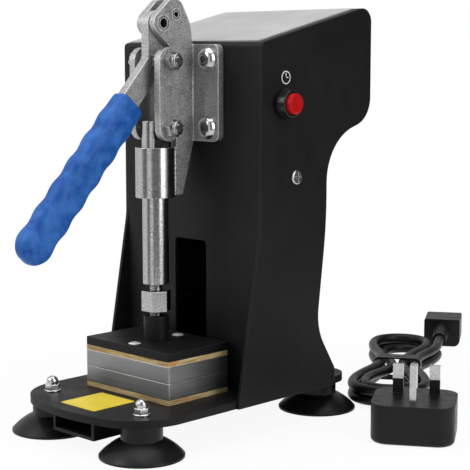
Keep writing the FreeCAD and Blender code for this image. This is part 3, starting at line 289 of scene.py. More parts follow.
# Edges are painted bright: a painted highlight.
zinc_edge_highlight = zinc.edge(0.0007)
speckle = zinc.colours(zinc.noise(1300, 5), grey(0.2), grey(0.62), 0.36, 0.66)
haze = zinc.levels(zinc.noise(70, 3), 0.0, 0.4, 0.4, 0.75)
dull = zinc.blend(haze, speckle, grey(0.54))
# Hollows and gaps between parts are painted dark: painted shade.
hollow_shade = zinc.blend(zinc.recess(0.004), dull, grey(0.03))
zinc.colour(zinc.blend(zinc_edge_highlight, hollow_shade, grey(0.95)))
zinc.rough(zinc.levels(zinc.noise(240), 0.34, 0.48))
zinc.bump(zinc.noise(1100), 0.25, 0.0003)
finishes["zinc_steel"] = zinc.material
print("zinc sheet ready")

# %% [markdown]
# ## Turned steel
# The rod, its sleeve, the pressure screw and the spacers come off a lathe and are smooth, so they show
# long bright and dark streaks. Streaks could be painted on, but they would not move with the view. Here
# the metal shader mirrors the room. The zinc on the steel is sparkly, so a grain as fine as sand varies
# the colour. The hole mask paints shade into the bores and hollows, and the edges get a painted highlight.

# %% Turned steel
turned = Finish("turned_steel", grey(0.42), 0.2, 1.0)
# Edges are painted pale: a painted highlight.
corner = turned.edge(0.0006)
grain = turned.noise(1500, 4)
worked = turned.colours(grain, grey(0.25), grey(0.6), 0.34, 0.66)
# Bores and hollows are painted dark: painted shade.
hollow_shade = turned.blend(turned.recess(0.005), worked, grey(0.02))
turned.colour(turned.blend(corner, hollow_shade, grey(0.8)))
turned.rough(turned.levels(turned.noise(260), 0.15, 0.23))
turned.bump(grain, 0.12, 0.0002)
finishes["turned_steel"] = turned.material
print("turned steel ready")

# %% [markdown]
# ## Hollow rivets and nuts
# The rivets are rolled tubes with open bores, and the nuts sit tight on the links. Both are small, so what
# the eye needs is a dark hole, a dark seat and a light rim: the hole and the seat get painted shade from the
# hole mask, and the rim gets a painted highlight. A rim could be a mesh of its own, but the edge mask finds
# it with no more faces. A rivet's rolled rim is painted light and is less of a metal there, so it scatters
# the light. Each row gives the grey of the face, the reach of the hole mask and the width of the rim, in
# metres.

# %% Hollow rivets and nuts
SMALL_STEEL = {"rivet_steel": (0.36, 0.008, 0.0014), "nut_steel": (0.3, 0.004, 0.0006)}
for name, (face, reach, rolled) in SMALL_STEEL.items():
    small = Finish(name, grey(face), 0.26, 1.0)
    # The rim is painted light: a painted highlight.
    rim = small.edge(rolled)
    plain_face = small.colours(small.noise(900), grey(face * 0.8), grey(face * 1.2))
    # Holes and the nut's seat are painted dark: painted shade.
    shaded = small.blend(small.recess(reach), plain_face, grey(0.01))
    small.colour(small.blend(rim, shaded, grey(0.95)))
    # A rivet's rim is made less of a metal, so its painted highlight shows.
    if name == "rivet_steel":
        small.join(small.levels(rim, 0.9, 0.0, 0.1, 0.6), small.shader.inputs["Metallic"])
    small.rough(small.levels(small.noise(600), 0.22, 0.32))
    finishes[name] = small.material
print("rivets and nuts ready")

# %% [markdown]
# ## Bright fasteners
# Cap nuts, studs and button heads are polished and plated. A pale gloss paint could pass for plating from
# afar, but only a metal shader shows the room bent round a dome. So this is a clean metal with low
# roughness, and a trace of noise keeps ten equal screws from looking copied.

# %% Bright fasteners
bright = Finish("bright_steel", grey(0.5), 0.16, 1.0)
# Edges are painted light: a painted highlight.
shine = bright.edge(0.0004)
tint = bright.colours(bright.noise(500), grey(0.42), grey(0.58))
# Sockets and crevices are painted dark: painted shade.
socket_shade = bright.blend(bright.recess(0.009), tint, grey(0.01))
bright.colour(bright.blend(shine, socket_shade, grey(0.82)))
bright.rough(bright.levels(bright.noise(700), 0.11, 0.24))
bright.bump(bright.noise(1500), 0.06, 0.0001)
finishes["bright_steel"] = bright.material
print("fasteners ready")

# %% [markdown]
# ## Satin screw heads
# The two low heads in the upper plate lie nearly level with it, so a mirror finish would only show the
# black housing. Their plating is satin and scatters the light from above, so the shader is less than half
# metal. Ambient Occlusion paints shade into the cross in each head, and the edge mask paints a highlight
# on the rims.

# %% Satin screw heads
satin = Finish("satin_steel", grey(0.74), 0.36, 0.4)
# Edges are painted light: a painted highlight.
glint = satin.edge(0.0003)
plated = satin.colours(satin.noise(900), grey(0.66), grey(0.8))
# The cross is painted dark: painted shade.
crossed = satin.blend(satin.recess(0.002), plated, grey(0.02))
satin.colour(satin.blend(glint, crossed, grey(0.9)))
satin.rough(satin.levels(satin.noise(700), 0.3, 0.44))
finishes["satin_steel"] = satin.material
print("satin heads ready")

# %% [markdown]
# ## Black oxide steel
# The plate that backs the clamp inside the housing is dipped black, not painted. The powder coat could be
# used again, but it would hide that this is bare steel. So it is a dark metal with cloudy patches, and one
# noise drives a narrow run of dark greys.

# %% Black oxide steel
oxide = Finish("dark_steel", (0.05, 0.05, 0.053), 0.4, 1.0)
oxide.colour(oxide.colours(oxide.noise(300), (0.035, 0.035, 0.037), (0.075, 0.075, 0.078)))
oxide.rough(oxide.levels(oxide.noise(500), 0.32, 0.5))
finishes["dark_steel"] = oxide.material
print("oxide ready")

# %% [markdown]
# ## Milled aluminium plates
# The two heated plates are milled, then darkened a little by heat. A cutter leaves fine level lines. They
# could be cut into the mesh, but they are finer than any mesh should be, so one noise is stretched flat
# along the plate. The line where the plates meet and the sharp corner get a painted highlight from the
# edge mask of the shader.

# %% Milled aluminium plates
milled = Finish("plate_aluminium", grey(0.27), 0.36, 0.9)
# The meeting line and the corner are painted bright: a painted highlight.
crisp = milled.edge(0.0008)
lines = milled.noise(1.0, 3, milled.stretched(30, 30, 2600))
heat = milled.levels(milled.noise(26, 3), 0.0, 0.6)
cut = milled.colours(lines, grey(0.22), grey(0.31))
milled.colour(milled.blend(crisp, milled.blend(heat, cut, grey(0.29)), grey(0.9)))
milled.rough(milled.levels(lines, 0.32, 0.42))
milled.bump(lines, 0.05, 0.0001)
finishes["plate_aluminium"] = milled.material
print("plates ready")

# %% [markdown]
# ## Tan insulating board
# A pressed board keeps the heat out of the base and the collar. Its cut edge shows layers, and the heat
# has scorched it orange in places. Each layer could be a sheet of its own, but the board is one solid in
# the CAD. Two noises do the work: a flat one for the layers and a round one that lets a second colour
# through.

# %% Tan insulating board
board = Finish("tan_board", (0.6, 0.45, 0.22), 0.7)
board.set("Specular IOR Level", 0.3)
layers = board.noise(1.0, 4, board.stretched(60, 60, 1300))
scorch = board.levels(board.noise(85, 3), 0.0, 0.75, 0.53, 0.68)
ply = board.colours(layers, (0.3, 0.19, 0.07), (0.62, 0.49, 0.26), 0.36, 0.6)
board.colour(board.blend(scorch, ply, (0.5, 0.2, 0.04)))
board.bump(layers, 0.4, 0.0004)
finishes["tan_board"] = board.material
print("board ready")

# %% [markdown]
# ## Black rubber
# The feet are soft moulded cups. A flat black would make holes in the picture, because rubber is black but
# not empty: a wide, weak sheen rolls over its edges. So the specular level is low, the roughness is
# middling, and the Bevel node softens the rims.

# %% Black rubber
rubber = Finish("black_rubber", grey(0.006), 0.36)
rubber.set("Specular IOR Level", 0.22)
rubber.edge(0.0008)
rubber.colour(rubber.colours(rubber.noise(45), grey(0.0045), grey(0.008)))
rubber.rough(rubber.levels(rubber.noise(80), 0.3, 0.42))
rubber.bump(rubber.noise(1800, 2), 0.08, 0.0002)
finishes["black_rubber"] = rubber.material
print("rubber ready")

# %% [markdown]
# ## Blue grip
# The sleeve on the lever is dipped in soft blue plastic. It has a mottled, slightly dusty skin. Dust could
# be a second layer of shader, but it lies so thin that two shades of the same blue are enough. One wide
# noise moves the colour between them, and a finer one roughens the skin.

# %% Blue grip
dipped = Finish("blue_grip", (0.014, 0.095, 0.36), 0.46)
dipped.set("Specular IOR Level", 0.2)
mottle = dipped.noise(105, 5)
dipped.colour(dipped.colours(mottle, (0.006, 0.072, 0.33), (0.033, 0.148, 0.48), 0.38, 0.64))
dipped.rough(dipped.levels(dipped.noise(160), 0.38, 0.56))
dipped.bump(dipped.noise(420, 4), 0.16, 0.0005)
finishes["blue_grip"] = dipped.material
print("grip colour ready")

# %% [markdown]
# ## Red timer cap
# The cap of the timer button is a glossy moulding. A clear coat could be laid over a red base, as on a car,
# but moulded plastic is one stuff through and through. It needs a low roughness and a clear colour, and
# the noise stays faint, so that the cap looks clean and new.

# %% Red timer cap
cap = Finish("red_cap", (0.44, 0.005, 0.006), 0.3)
cap.set("Specular IOR Level", 0.14)
cap.edge(0.0006)
cap.colour(cap.colours(cap.noise(90), (0.4, 0.004, 0.005), (0.48, 0.007, 0.008)))
cap.rough(cap.levels(cap.noise(400), 0.2, 0.33))
cap.bump(cap.noise(1500, 2), 0.05, 0.0001)
finishes["red_cap"] = cap.material
print("red cap ready")

# %% [markdown]
# ## Black mouldings and cable
# The button's body, the inlet and the plug are hard plastic, and the cable's sheath is softer. Both are
# black with a fine grain, so two cells would say the same twice. One loop makes both, and only the depth
# of the black, the roughness and the strength of the sheen differ.

# %% Black mouldings and cable
MOULDED = {"black_plastic": (0.006, 0.011, 0.22, 0.4), "cable_black": (0.005, 0.009, 0.34, 0.2)}
for name, (low, high, gloss, sheen) in MOULDED.items():
    mould = Finish(name, grey(low), gloss)
    mould.set("Specular IOR Level", sheen)
    mould.edge(0.0006)
    mould.colour(mould.colours(mould.noise(50), grey(low), grey(high)))
    mould.rough(mould.levels(mould.noise(220), gloss - 0.05, gloss + 0.1))
    mould.bump(mould.noise(2400, 2), 0.08, 0.0001)
    finishes[name] = mould.material
print("mouldings and cable ready")

# %% [markdown]
# ## Circuit board and brass
# These sit inside the housing and in the inlet, and are seen only through openings. Tracks could be drawn
# one by one, but nobody can follow them from outside, so they are a stretched noise cut hard into two
# greens. The pins are a plain yellow metal.

# %% Circuit board and brass
green = Finish("green_board", (0.02, 0.14, 0.06), 0.4)
tracks = green.noise(1.0, 2, green.stretched(60, 260, 260))
green.colour(green.colours(tracks, (0.012, 0.1, 0.04), (0.05, 0.24, 0.1), 0.47, 0.53))
finishes["green_board"] = green.material
brass = Finish("brass", (0.7, 0.5, 0.2), 0.24, 1.0)
brass.colour(brass.colours(brass.noise(300), (0.6, 0.42, 0.16), (0.8, 0.6, 0.26)))
brass.rough(brass.levels(brass.noise(500), 0.18, 0.34))
finishes["brass"] = brass.material
print("circuit board and brass ready")

# %% [markdown]
# ## Give every CAD node its finish
# The record names a material slot for each node, and most nodes take the finish of that name. The zinc
# slot covers pressed, turned and riveted pieces, and the bright slot both domed and low screw heads. A
# maker tells these apart at once, so the finer ones are named here and get a finish of their own. Finishes
# could be picked by hand for each piece, but a loop over the record cannot miss one. The meshes stay as
# they are, and only their material slots change.

# %% Finish the CAD nodes
TURNED = ("plunger_rod", "guide_sleeve", "pressure_screw", "link_spacers", "plunger_pin")
finer = {name: "turned_steel" for name in TURNED}
finer.update(pivot_rivet="rivet_steel", spacer_rivet="rivet_steel", link_nuts="nut_steel",
             link_bolts="nut_steel", upper_screws="satin_steel")
for entry in frame["record"]["subparts"]:
    name = entry["node"]
    mesh = nodes[name].data
    mesh.materials.clear()
    mesh.materials.append(finishes[finer.get(name, entry["material_slot"])])

# %% [markdown]
# ## Sizes of the lead
# The mains lead is a round cable that somebody wound into a hank and tied. Its sizes could be typed in
# where they are used, but the route needs most of them twice, so they have names here. They are in
# millimetres on the hank's own axes: X goes along the runs, Y across them and Z up. Each row of RUN is one
# control point: its share of the length, whether it is drawn in at the waist, and its share of the climb.

# %% Lead sizes
CABLE = 3.4
FLOOR_GAP, LAYER = 1.1, 7.3
LOW = FLOOR_GAP + CABLE
TOP = LOW + LAYER
STEP = 8.0
HALF_LENGTH = 65.0
END_WIDTH = 26.0
WAIST = 1.75 * STEP
HALF_TURNS = 6
CONNECTOR, STRAIGHT = 86.0, 7.0
PLUG, PLUG_Z = 105.0, 8.5
TAIL, DROP = 12.0, 22.0
HANK_X, HANK_Y, HANK_TURN = 28.9, 203.2, 122.0
OCTAGON = math.tan(math.radians(22.5))
RUN = ((-0.76, False, 0.0), (-0.24, True, 0.3), (0.24, True, 0.7), (0.76, False, 1.0))
print("hank", 2 * HALF_LENGTH, "mm between its turns, cable", 2 * CABLE, "mm thick")

# %% [markdown]
# ## The route of the lead
# The lead goes round three times in two layers and is drawn in at its tie. A coil could be pulled out of a
# spiral by hand, but then the runs would cross. Here each run has four control points and each turn at an
# end has four more, with the runs set side by side by one step, so no two cables meet.

# %% Lead route


def inset(k):
    """How far run k lies inside the outermost run."""
    return STEP * min(k, HALF_TURNS - k) / 2


def hank_points():
    """The control points of the cable, run by run, in millimetres on the hank's own axes."""
    points = [(CONNECTOR, -END_WIDTH, TOP), (CONNECTOR - STRAIGHT, -END_WIDTH, TOP)]
    for k in range(HALF_TURNS + 1):
        side = -1 if k % 2 == 0 else 1
        start = TOP if k <= HALF_TURNS // 2 else LOW
        end = TOP if k < HALF_TURNS // 2 else LOW
        wide = side * (END_WIDTH - inset(k))
        waist = side * (WAIST - inset(k))
        for share, drawn_in, climb in RUN:
            y = waist if drawn_in else wide
            points.append((side * share * HALF_LENGTH, y, start + (end - start) * climb))
        if k < HALF_TURNS:
            other = -side * (END_WIDTH - inset(k + 1))
            radius = abs(wide - other) / 2
            middle = (wide + other) / 2
            for u, v in ((OCTAGON, 1), (1, OCTAGON), (1, -OCTAGON), (OCTAGON, -1)):
                points.append((side * (HALF_LENGTH + u * radius), middle + side * v * radius, end))
    tail = -HALF_LENGTH - TAIL
    points += [(tail, -END_WIDTH, LOW), (tail - DROP, -END_WIDTH, PLUG_Z), (-PLUG, -END_WIDTH, PLUG_Z)]
    return points


turned_hank = Matrix.Rotation(math.radians(HANK_TURN), 4, "Z")
lead_place = Matrix.Translation(at(HANK_X, HANK_Y, 0.0)) @ turned_hank
route = [lead_place @ (Vector(p) * MM) for p in hank_points()]
print("lead route:", len(route), "points")

# %% [markdown]
# ## The cable
# A sheathed cable bends in long smooth curves. A tube could be swept as a mesh, but a curve object with a
# round bevel is easier, because the thickness stays a single number. A NURBS spline is used and not a
# Bezier one, so that the control points pull the cable without kinks.

# %% Cable
cable_data = bpy.data.curves.new("lead_cable", "CURVE")
cable_data.dimensions = "3D"
cable_data.bevel_depth = CABLE * MM
cable_data.bevel_resolution = 6
cable_data.resolution_u = 8
cable_data.use_fill_caps = True
spline = cable_data.splines.new("NURBS")
spline.points.add(len(route) - 1)
for point, place in zip(spline.points, route):
    point.co = (*place, 1)
spline.order_u = 3
spline.use_endpoint_u = True
spline.use_smooth = True
cable = bpy.data.objects.new("lead_cable", cable_data)
scene.collection.objects.link(cable)
cable_data.materials.append(finishes["cable_black"])
print("cable:", len(spline.points), "control points")

# %% [markdown]
# ## The lead in the frame
# On the real thing the cable, its two ends and its tie move as one when the lead is picked up. They could
# be joined into one mesh, but then each would lose its finish.

# %% Lead in the frame
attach(cable, "press")
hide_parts("lead_hank")

# %% [markdown]
# ## The grip's outline
# The sleeve has a straight mouth where it was cut, shallow finger waves, and a full round tip. It could
# be modelled from a cube with a subdivision surface, but the waves are easier to set by a formula. The
# function gives the half width and half thickness at any share of the length.

# %% Grip outline
GRIP_ANGLE = math.radians(47.5)
GRIP_ROOT = at(0, 0, 225.0)
GRIP_START = 32.6
GRIP_LENGTH = 116.5
HALF_WIDTH, HALF_THICKNESS = 10.65, 7.3
PITCH, FIRST_DENT, DENT = 17.6, 26.0, 0.5
FLARE, MOUTH = 20.0, 0.87
TIP, TIP_POWER = 11.0, 2.4
LIP, LIP_LENGTH = 0.03, 0.5
arm = Vector((0, -math.cos(GRIP_ANGLE), -math.sin(GRIP_ANGLE)))
across = Vector((0, -math.sin(GRIP_ANGLE), math.cos(GRIP_ANGLE)))


def grip_half(share):
    """Half width across the bar and half thickness at a share of the grip's length."""
    along = share * GRIP_LENGTH
    flare = min(1.0, along / FLARE)
    swell = MOUTH + (1 - MOUTH) * math.sin(flare * math.pi / 2)
    wave = DENT * flare * math.cos(2 * math.pi * (along - FIRST_DENT) / PITCH)
    tip = max(0.0, (along - GRIP_LENGTH + TIP) / TIP)
    closing = max(0.0, 1 - tip ** TIP_POWER) ** (1 / TIP_POWER)
    lip = 1 - LIP * max(0.0, 1 - along / LIP_LENGTH) ** 2
    wide = HALF_WIDTH * swell - wave
    thick = HALF_THICKNESS * swell - wave / 2
    return wide * closing * lip, thick * closing * lip


print("grip half size in its middle:", [round(v, 2) for v in grip_half(0.5)])

# %% [markdown]
# ## The grip's rings
# Cut through, the sleeve is a rectangle at its mouth, where the flat bar goes in, and rounder further on.
# Two shapes could be blended, but raising the sine and cosine of a circle to a power goes from one to the
# other smoothly. The sleeve hangs a little below the bar's middle line, as the photo shows.

# %% Grip rings
CROSS = 44
SQUARE, ROUNDER = 0.4, 0.26
SAG = 1.4


def squared(value, power):
    """Pulls a circle's sine or cosine out towards a rounded rectangle."""
    return math.copysign(abs(value) ** power, value)


def grip_ring(share):
    """A ring of points round the bar at a share of the grip's length."""
    wide, thick = grip_half(share)
    power = SQUARE + ROUNDER * min(1.0, share * GRIP_LENGTH / FLARE)
    middle = GRIP_ROOT + arm * (GRIP_START + GRIP_LENGTH * share) * MM - across * SAG * MM
    ring = []
    for i in range(CROSS):
        turn = 2 * math.pi * i / CROSS
        side = Vector((squared(math.sin(turn), power) * thick * MM, 0, 0))
        ring.append(middle + across * squared(math.cos(turn), power) * wide * MM + side)
    return ring


print("grip rings of", len(grip_ring(0.5)), "points")

# %% [markdown]
# ## The grip's skin
# Rings of points are set along the lever and joined by quads, like hoops under a skin. Loft tools exist
# as add-ons, but BMesh needs only two short loops. The rings crowd together at the tip, where the outline
# turns quickly. The skin takes the place of the plain CAD grip and rides with the handle.

# %% Grip skin
STATIONS = 120
CROWDING = 1.25
LAST_SHARE = 0.9995
skin = bmesh.new()
hoops = []
for i in range(STATIONS + 1):
    share = 1 - (1 - i / STATIONS) ** CROWDING
    hoops.append([skin.verts.new(p) for p in grip_ring(min(share, LAST_SHARE))])
for low, high in zip(hoops, hoops[1:]):
    for i in range(CROSS):
        skin.faces.new((low[i], low[(i + 1) % CROSS], high[(i + 1) % CROSS], high[i]))
skin.faces.new(hoops[-1])
skin.faces.new(hoops[0][::-1])
bmesh.ops.recalc_face_normals(skin, faces=skin.faces)
grip_mesh = bpy.data.meshes.new("grip_sleeve")
skin.to_mesh(grip_mesh)
skin.free()
for face in grip_mesh.polygons:
    face.use_smooth = len(face.vertices) == 4
grip = bpy.data.objects.new("grip_sleeve", grip_mesh)
scene.collection.objects.link(grip)
grip_mesh.materials.append(finishes["blue_grip"])
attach(grip, "handle")
grip.visible_glossy = False
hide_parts("handle_grip")
print("grip:", len(grip_mesh.vertices), "points")

# %% [markdown]
# ## A helper for thin pieces
# The last details are thin: a sheet, a printed sign and two weld beads. They could be drawn by hand in edit
# mode, but as a list of points and a list of faces they can be measured and made again, and Blender takes
# both straight from Python.

# %% Thin pieces


def add_piece(name, verts, faces, material, body, smooth=False):
    """Makes a mesh of points and faces, and sets it on its body."""
    mesh = bpy.data.meshes.new(name)
    mesh.from_pydata(verts, [], faces)
    mesh.update()
    for face in mesh.polygons:
        face.use_smooth = smooth
    mesh.materials.append(material)
    piece = bpy.data.objects.new(name, mesh)
    scene.collection.objects.link(piece)
    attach(piece, body)
    return piece


print("helper for thin pieces ready")

# %% [markdown]
# ## Yellow sheet
# A small yellow sheet with round corners lies on the base in front of the plates. A plane with a cut-out
# image is a common way, but a real sheet has a thickness that catches light, so it is a low slab.

# %% Yellow sheet
SHEET_Y, SHEET_X_HALF, SHEET_Y_HALF = -47.5, 15.5, 16.0
SHEET_CORNER, CORNER_STEPS, SHEET_THICK = 1.5, 5, 0.2
base_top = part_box("base_plate")[1].z / MM
sheet_paint = Finish("yellow_sheet", (0.85, 0.66, 0.02), 0.38)
fade = sheet_paint.noise(60)
sheet_paint.colour(sheet_paint.colours(fade, (0.82, 0.62, 0.012), (0.9, 0.7, 0.03)))
sheet_paint.rough(sheet_paint.levels(fade, 0.3, 0.46))
sheet_paint.bump(sheet_paint.noise(800), 0.06, 0.0001)


def sheet_outline(z):
    """The rounded outline of the sheet at a height."""
    points = []
    for corner, (sx, sy) in enumerate(((1, 1), (-1, 1), (-1, -1), (1, -1))):
        for step in range(CORNER_STEPS + 1):
            turn = math.pi / 2 * (corner + step / CORNER_STEPS)
            x = sx * (SHEET_X_HALF - SHEET_CORNER) + SHEET_CORNER * math.cos(turn)
            y = SHEET_Y + sy * (SHEET_Y_HALF - SHEET_CORNER) + SHEET_CORNER * math.sin(turn)
            points.append(at(x, y, z))
    return points


sheet_points = sheet_outline(base_top) + sheet_outline(base_top + SHEET_THICK)
count = len(sheet_points) // 2
sheet_faces = [tuple(range(count, 2 * count))]
for i in range(count):
    after = (i + 1) % count
    sheet_faces.append((i, after, count + after, count + i))
sheet = add_piece("yellow_sheet", sheet_points, sheet_faces, sheet_paint.material, "press")
sheet.visible_glossy = False
print("yellow sheet:", len(sheet_faces), "faces")

# %% [markdown]
# ## Clock sign
# A printed clock face over the button tells that it sets the time. It could be an image laid on the plate,
# but flat faces stay sharp at any distance and can be made again. So it is a ring and two hands of thin
# faces a hair in front of the side plate, which is how a print sits.

# %% Clock sign
SIGN_Y, SIGN_Z, SIGN_GAP = 50.5, 215.2, 0.12
SIGN_STEPS = 48
RING_IN, RING_OUT = 3.3, 4.0
HAND, LONG_HAND, SHORT_HAND = 0.3, 2.6, 2.0
side_x = (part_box("right_side_plate")[1].x - axis_x) / MM + SIGN_GAP
sign_paint = Finish("sign_white", grey(0.75), 0.5)
sign_paint.colour(sign_paint.colours(sign_paint.noise(600), grey(0.66), grey(0.8)))
sign_points, sign_faces = [], []


def printed(outline):
    """Adds one flat stroke, given as points on the side plate."""
    start = len(sign_points)
    sign_points.extend(at(side_x, SIGN_Y + y, SIGN_Z + z) for y, z in outline)
    sign_faces.append(tuple(range(start, start + len(outline))))


for i in range(SIGN_STEPS):
    a, b = 2 * math.pi * i / SIGN_STEPS, 2 * math.pi * (i + 1) / SIGN_STEPS
    corners = ((RING_IN, a), (RING_OUT, a), (RING_OUT, b), (RING_IN, b))
    printed([(r * math.cos(t), r * math.sin(t)) for r, t in corners])
for reach_y, reach_z in ((HAND, LONG_HAND), (SHORT_HAND, HAND)):
    printed([(-HAND, -HAND), (reach_y, -HAND), (reach_y, reach_z), (-HAND, reach_z)])
add_piece("clock_sign", sign_points, sign_faces, sign_paint.material, "press")
print("clock sign:", len(sign_faces), "strokes")

# %% [markdown]
# ## Weld beads
# The sleeve is welded to the two ears, and the weld leaves a lumpy bead down each side. Sculpting would
# do, but a thin tube whose radius swells by two sine waves has the same ripple and can be made again.

# %% Weld beads
BEAD_RINGS, BEAD_SIDES = 60, 10
BEAD_X, BEAD_Y, BEAD_LOW, BEAD_LENGTH = 7.9, 9.3, 145.0, 27.0
BEAD_RADIUS, RIPPLE, WANDER = 0.9, 0.18, 0.1
RIPPLES, WANDERS, BLUNT = 60, 23, 8
for name, side in (("weld_bead_left", -1), ("weld_bead_right", 1)):
    verts, faces = [], []
    for i in range(BEAD_RINGS + 1):
        share = i / BEAD_RINGS
        swell = BEAD_RADIUS + RIPPLE * math.sin(share * RIPPLES) + WANDER * math.sin(share * WANDERS + side)
        radius = swell * math.sqrt(max(0.02, 1 - (2 * share - 1) ** BLUNT))
        for j in range(BEAD_SIDES):
            turn = 2 * math.pi * j / BEAD_SIDES
            x = side * (BEAD_X + radius * math.cos(turn))
            verts.append(at(x, BEAD_Y + radius * math.sin(turn), BEAD_LOW + BEAD_LENGTH * share))
    for i in range(BEAD_RINGS):
        for j in range(BEAD_SIDES):
            a, b = i * BEAD_SIDES + j, i * BEAD_SIDES + (j + 1) % BEAD_SIDES
            faces.append((a, b, b + BEAD_SIDES, a + BEAD_SIDES))
    add_piece(name, verts, faces, finishes["turned_steel"], "press", smooth=True)
print("weld beads:", 2 * BEAD_RINGS, "rings")

# %% [markdown]
# ## Soft lights
# The photo is lit softly from the front, the right and above. Area lamps give soft shadows, as cloth
# boxes do in a studio; a sun lamp would draw hard lines. Their power is low on purpose, so every colour
# looks about as it is written. Each row gives where the lamp hangs and what it points at in millimetres,
# its size in metres and its power in watts.

# %% Soft lights
LAMPS = {"key": ((-350, -750, 700), (0, 20, 120), (0.5, 0.7), 4.5),
         "right": ((800, 60, 420), (40, 40, 120), (0.35, 0.8), 3),
         "top": ((0, 60, 900), (0, 40, 150), (0.7, 0.7), 3.5)}


def softbox(name, place, target, size, power):
    """Hangs one area lamp and turns it to its target."""
    data = bpy.data.lights.new(name, "AREA")
    data.shape = "RECTANGLE"
    data.size, data.size_y = size
    data.energy = power
    light = bpy.data.objects.new(name, data)
    light.location = at(*place)
    light.rotation_euler = (at(*target) - light.location).to_track_quat("-Z", "Y").to_euler()
    scene.collection.objects.link(light)


for lamp_name, settings in LAMPS.items():
    softbox(lamp_name, *settings)
print("soft lights:", len(LAMPS))

# %% [markdown]
# ## Kinds of ray
# A studio's white backdrop is lit by lamps of its own, which do not shine on the object. Blender could do
# that with more lamps and light groups. The Light Path node is simpler: it tells what kind of ray has
# arrived, so what is seen and what gives light can be set apart.

# %% Kinds of ray
SEEN = ("Is Camera Ray", "Is Glossy Ray", "Is Transmission Ray")


def ray_mask(tree, kinds):
    """1 for rays of the given kinds, 0 for the others."""
    path = tree.nodes.new("ShaderNodeLightPath")
    total = path.outputs[kinds[0]]
    for kind in kinds[1:]:
        most = tree.nodes.new("ShaderNodeMath")
        most.operation = "MAXIMUM"
        tree.links.new(total, most.inputs[0])
        tree.links.new(path.outputs[kind], most.inputs[1])
        total = most.outputs["Value"]
    return total


print("rays that see the backdrop:", len(SEEN), "kinds")

# %% [markdown]
# ## The room
# The backdrop is white, but a shop is not white all round: turned steel shows bright walls with dark gaps
# between them. An image of a room could be used, but a colour ramp around the compass is enough. Each pair
# gives a direction in degrees and how bright the wall is there.

# %% Room
WALLS = ((-180, 0.8), (-150, 1.0), (-128, 1.0), (-114, 0.3), (-98, 0.25), (-88, 0.95), (-68, 0.95),
         (-58, 0.25), (-18, 0.25), (-2, 0.95), (24, 0.95), (34, 0.15), (70, 0.1), (110, 0.5), (180, 0.8))
world = bpy.data.worlds.new("world")
scene.world = world
world.use_nodes = True
sky = world.node_tree
way = sky.nodes.new("ShaderNodeSeparateXYZ")
sky.links.new(sky.nodes.new("ShaderNodeTexCoord").outputs["Generated"], way.inputs["Vector"])
compass = sky.nodes.new("ShaderNodeMath")
compass.operation = "ARCTAN2"
sky.links.new(way.outputs["Y"], compass.inputs[0])
sky.links.new(way.outputs["X"], compass.inputs[1])
turn_share = sky.nodes.new("ShaderNodeMapRange")
turn_share.inputs["From Min"].default_value = -math.pi
turn_share.inputs["From Max"].default_value = math.pi
sky.links.new(compass.outputs["Value"], turn_share.inputs["Value"])
walls = sky.nodes.new("ShaderNodeValToRGB")
walls.color_ramp.interpolation = "EASE"
stops = walls.color_ramp.elements
stops.remove(stops[1])
for i, (angle, level) in enumerate(WALLS):
    place = (angle + 180) / 360
    stop = stops[0] if i == 0 else stops.new(place)
    stop.position = place
    stop.color = (*grey(level), 1)
sky.links.new(turn_share.outputs["Result"], walls.inputs["Fac"])
print("room:", len(stops), "stops round the compass")

# %% [markdown]
# ## The world
# In a real shop the walls, the backdrop and the light in the room are different things. One background
# could serve for all three, but then a white backdrop would wash the object out. The world shader keeps
# them apart by the kind of ray: the camera sees white, metal sees the walls, and light that lands on the
# object comes from a plain grey, so that colours look as they are written.

# %% World
ROOM_GREY = (0.35, 0.35, 0.355, 1)
WHITE = (1, 1, 1, 1)
plain = sky.nodes["Background"]
plain.inputs["Color"].default_value = ROOM_GREY
in_metal = sky.nodes.new("ShaderNodeBackground")
sky.links.new(walls.outputs["Color"], in_metal.inputs["Color"])
in_camera = sky.nodes.new("ShaderNodeBackground")
in_camera.inputs["Color"].default_value = WHITE
seen = sky.nodes.new("ShaderNodeMixShader")
sky.links.new(ray_mask(sky, SEEN[:1]), seen.inputs["Fac"])
sky.links.new(in_metal.outputs["Background"], seen.inputs[1])
sky.links.new(in_camera.outputs["Background"], seen.inputs[2])
both = sky.nodes.new("ShaderNodeMixShader")
sky.links.new(ray_mask(sky, SEEN), both.inputs["Fac"])
sky.links.new(plain.outputs["Background"], both.inputs[1])
sky.links.new(seen.outputs["Shader"], both.inputs[2])
sky.links.new(both.outputs["Shader"], sky.nodes["World Output"].inputs["Surface"])
print("world joined")

# %% [markdown]
# ## The table's paint
# The press stands on a white table that runs into the backdrop without an edge. A lit white sheet alone
# would look grey next to white, so part of the table's colour is its own glow. The glow's share grows
# with the distance from the press, so the shadow stays under the feet and the table's edge vanishes.

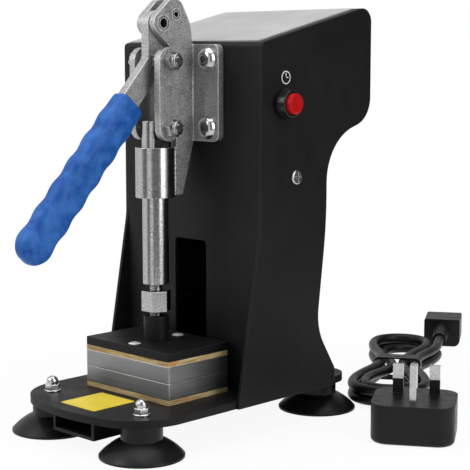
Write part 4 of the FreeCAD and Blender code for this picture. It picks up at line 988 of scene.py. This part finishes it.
# %% Table paint
TABLE_WHITE = (0.9, 0.9, 0.9, 1)
NEAR, FAR = 0.12, 0.38
NEAR_GLOW = 0.92
UNDER_PRESS = at(0, 40, 0)
floor_paint = bpy.data.materials.new("floor")
floor_paint.use_nodes = True
ground = floor_paint.node_tree
matte = ground.nodes["Principled BSDF"]
matte.inputs["Base Color"].default_value = TABLE_WHITE
matte.inputs["Roughness"].default_value = 0.9
matte.inputs["Specular IOR Level"].default_value = 0.0
glow = ground.nodes.new("ShaderNodeEmission")
away = ground.nodes.new("ShaderNodeVectorMath")
away.operation = "DISTANCE"
away.inputs[1].default_value = UNDER_PRESS
ground.links.new(ground.nodes.new("ShaderNodeNewGeometry").outputs["Position"], away.inputs[0])
rise = ground.nodes.new("ShaderNodeMapRange")
for name, number in (("From Min", NEAR), ("From Max", FAR), ("To Min", NEAR_GLOW), ("To Max", 1.0)):
    rise.inputs[name].default_value = number
ground.links.new(away.outputs["Value"], rise.inputs["Value"])
glow_share = ground.nodes.new("ShaderNodeMath")
glow_share.operation = "MULTIPLY"
ground.links.new(ray_mask(ground, SEEN), glow_share.inputs[0])
ground.links.new(rise.outputs["Result"], glow_share.inputs[1])
table = ground.nodes.new("ShaderNodeMixShader")
ground.links.new(glow_share.outputs["Value"], table.inputs["Fac"])
ground.links.new(matte.outputs["BSDF"], table.inputs[1])
ground.links.new(glow.outputs["Emission"], table.inputs[2])
ground.links.new(table.outputs["Shader"], ground.nodes["Material Output"].inputs["Surface"])
print("table paint glows", NEAR_GLOW, "near the press")

# %% [markdown]
# ## The table
# Any flat top would do, and it only has to reach past the press and its lead. A large plane would hide the
# edge too, but a small one with a glowing rim keeps the scene compact.

# %% Table
FLOOR_HALF, FLOOR_BACK, FLOOR_DROP = 0.45, 0.05, 0.0005
floor_mesh = bpy.data.meshes.new("floor")
ends = ((-1, -1), (1, -1), (1, 1), (-1, 1))
floor_points = [(x * FLOOR_HALF, y * FLOOR_HALF + FLOOR_BACK, -FLOOR_DROP) for x, y in ends]
floor_mesh.from_pydata(floor_points, [], [(0, 1, 2, 3)])
floor_mesh.materials.append(floor_paint)
floor = bpy.data.objects.new("floor", floor_mesh)
scene.collection.objects.link(floor)
print("floor", 2 * FLOOR_HALF, "m across")
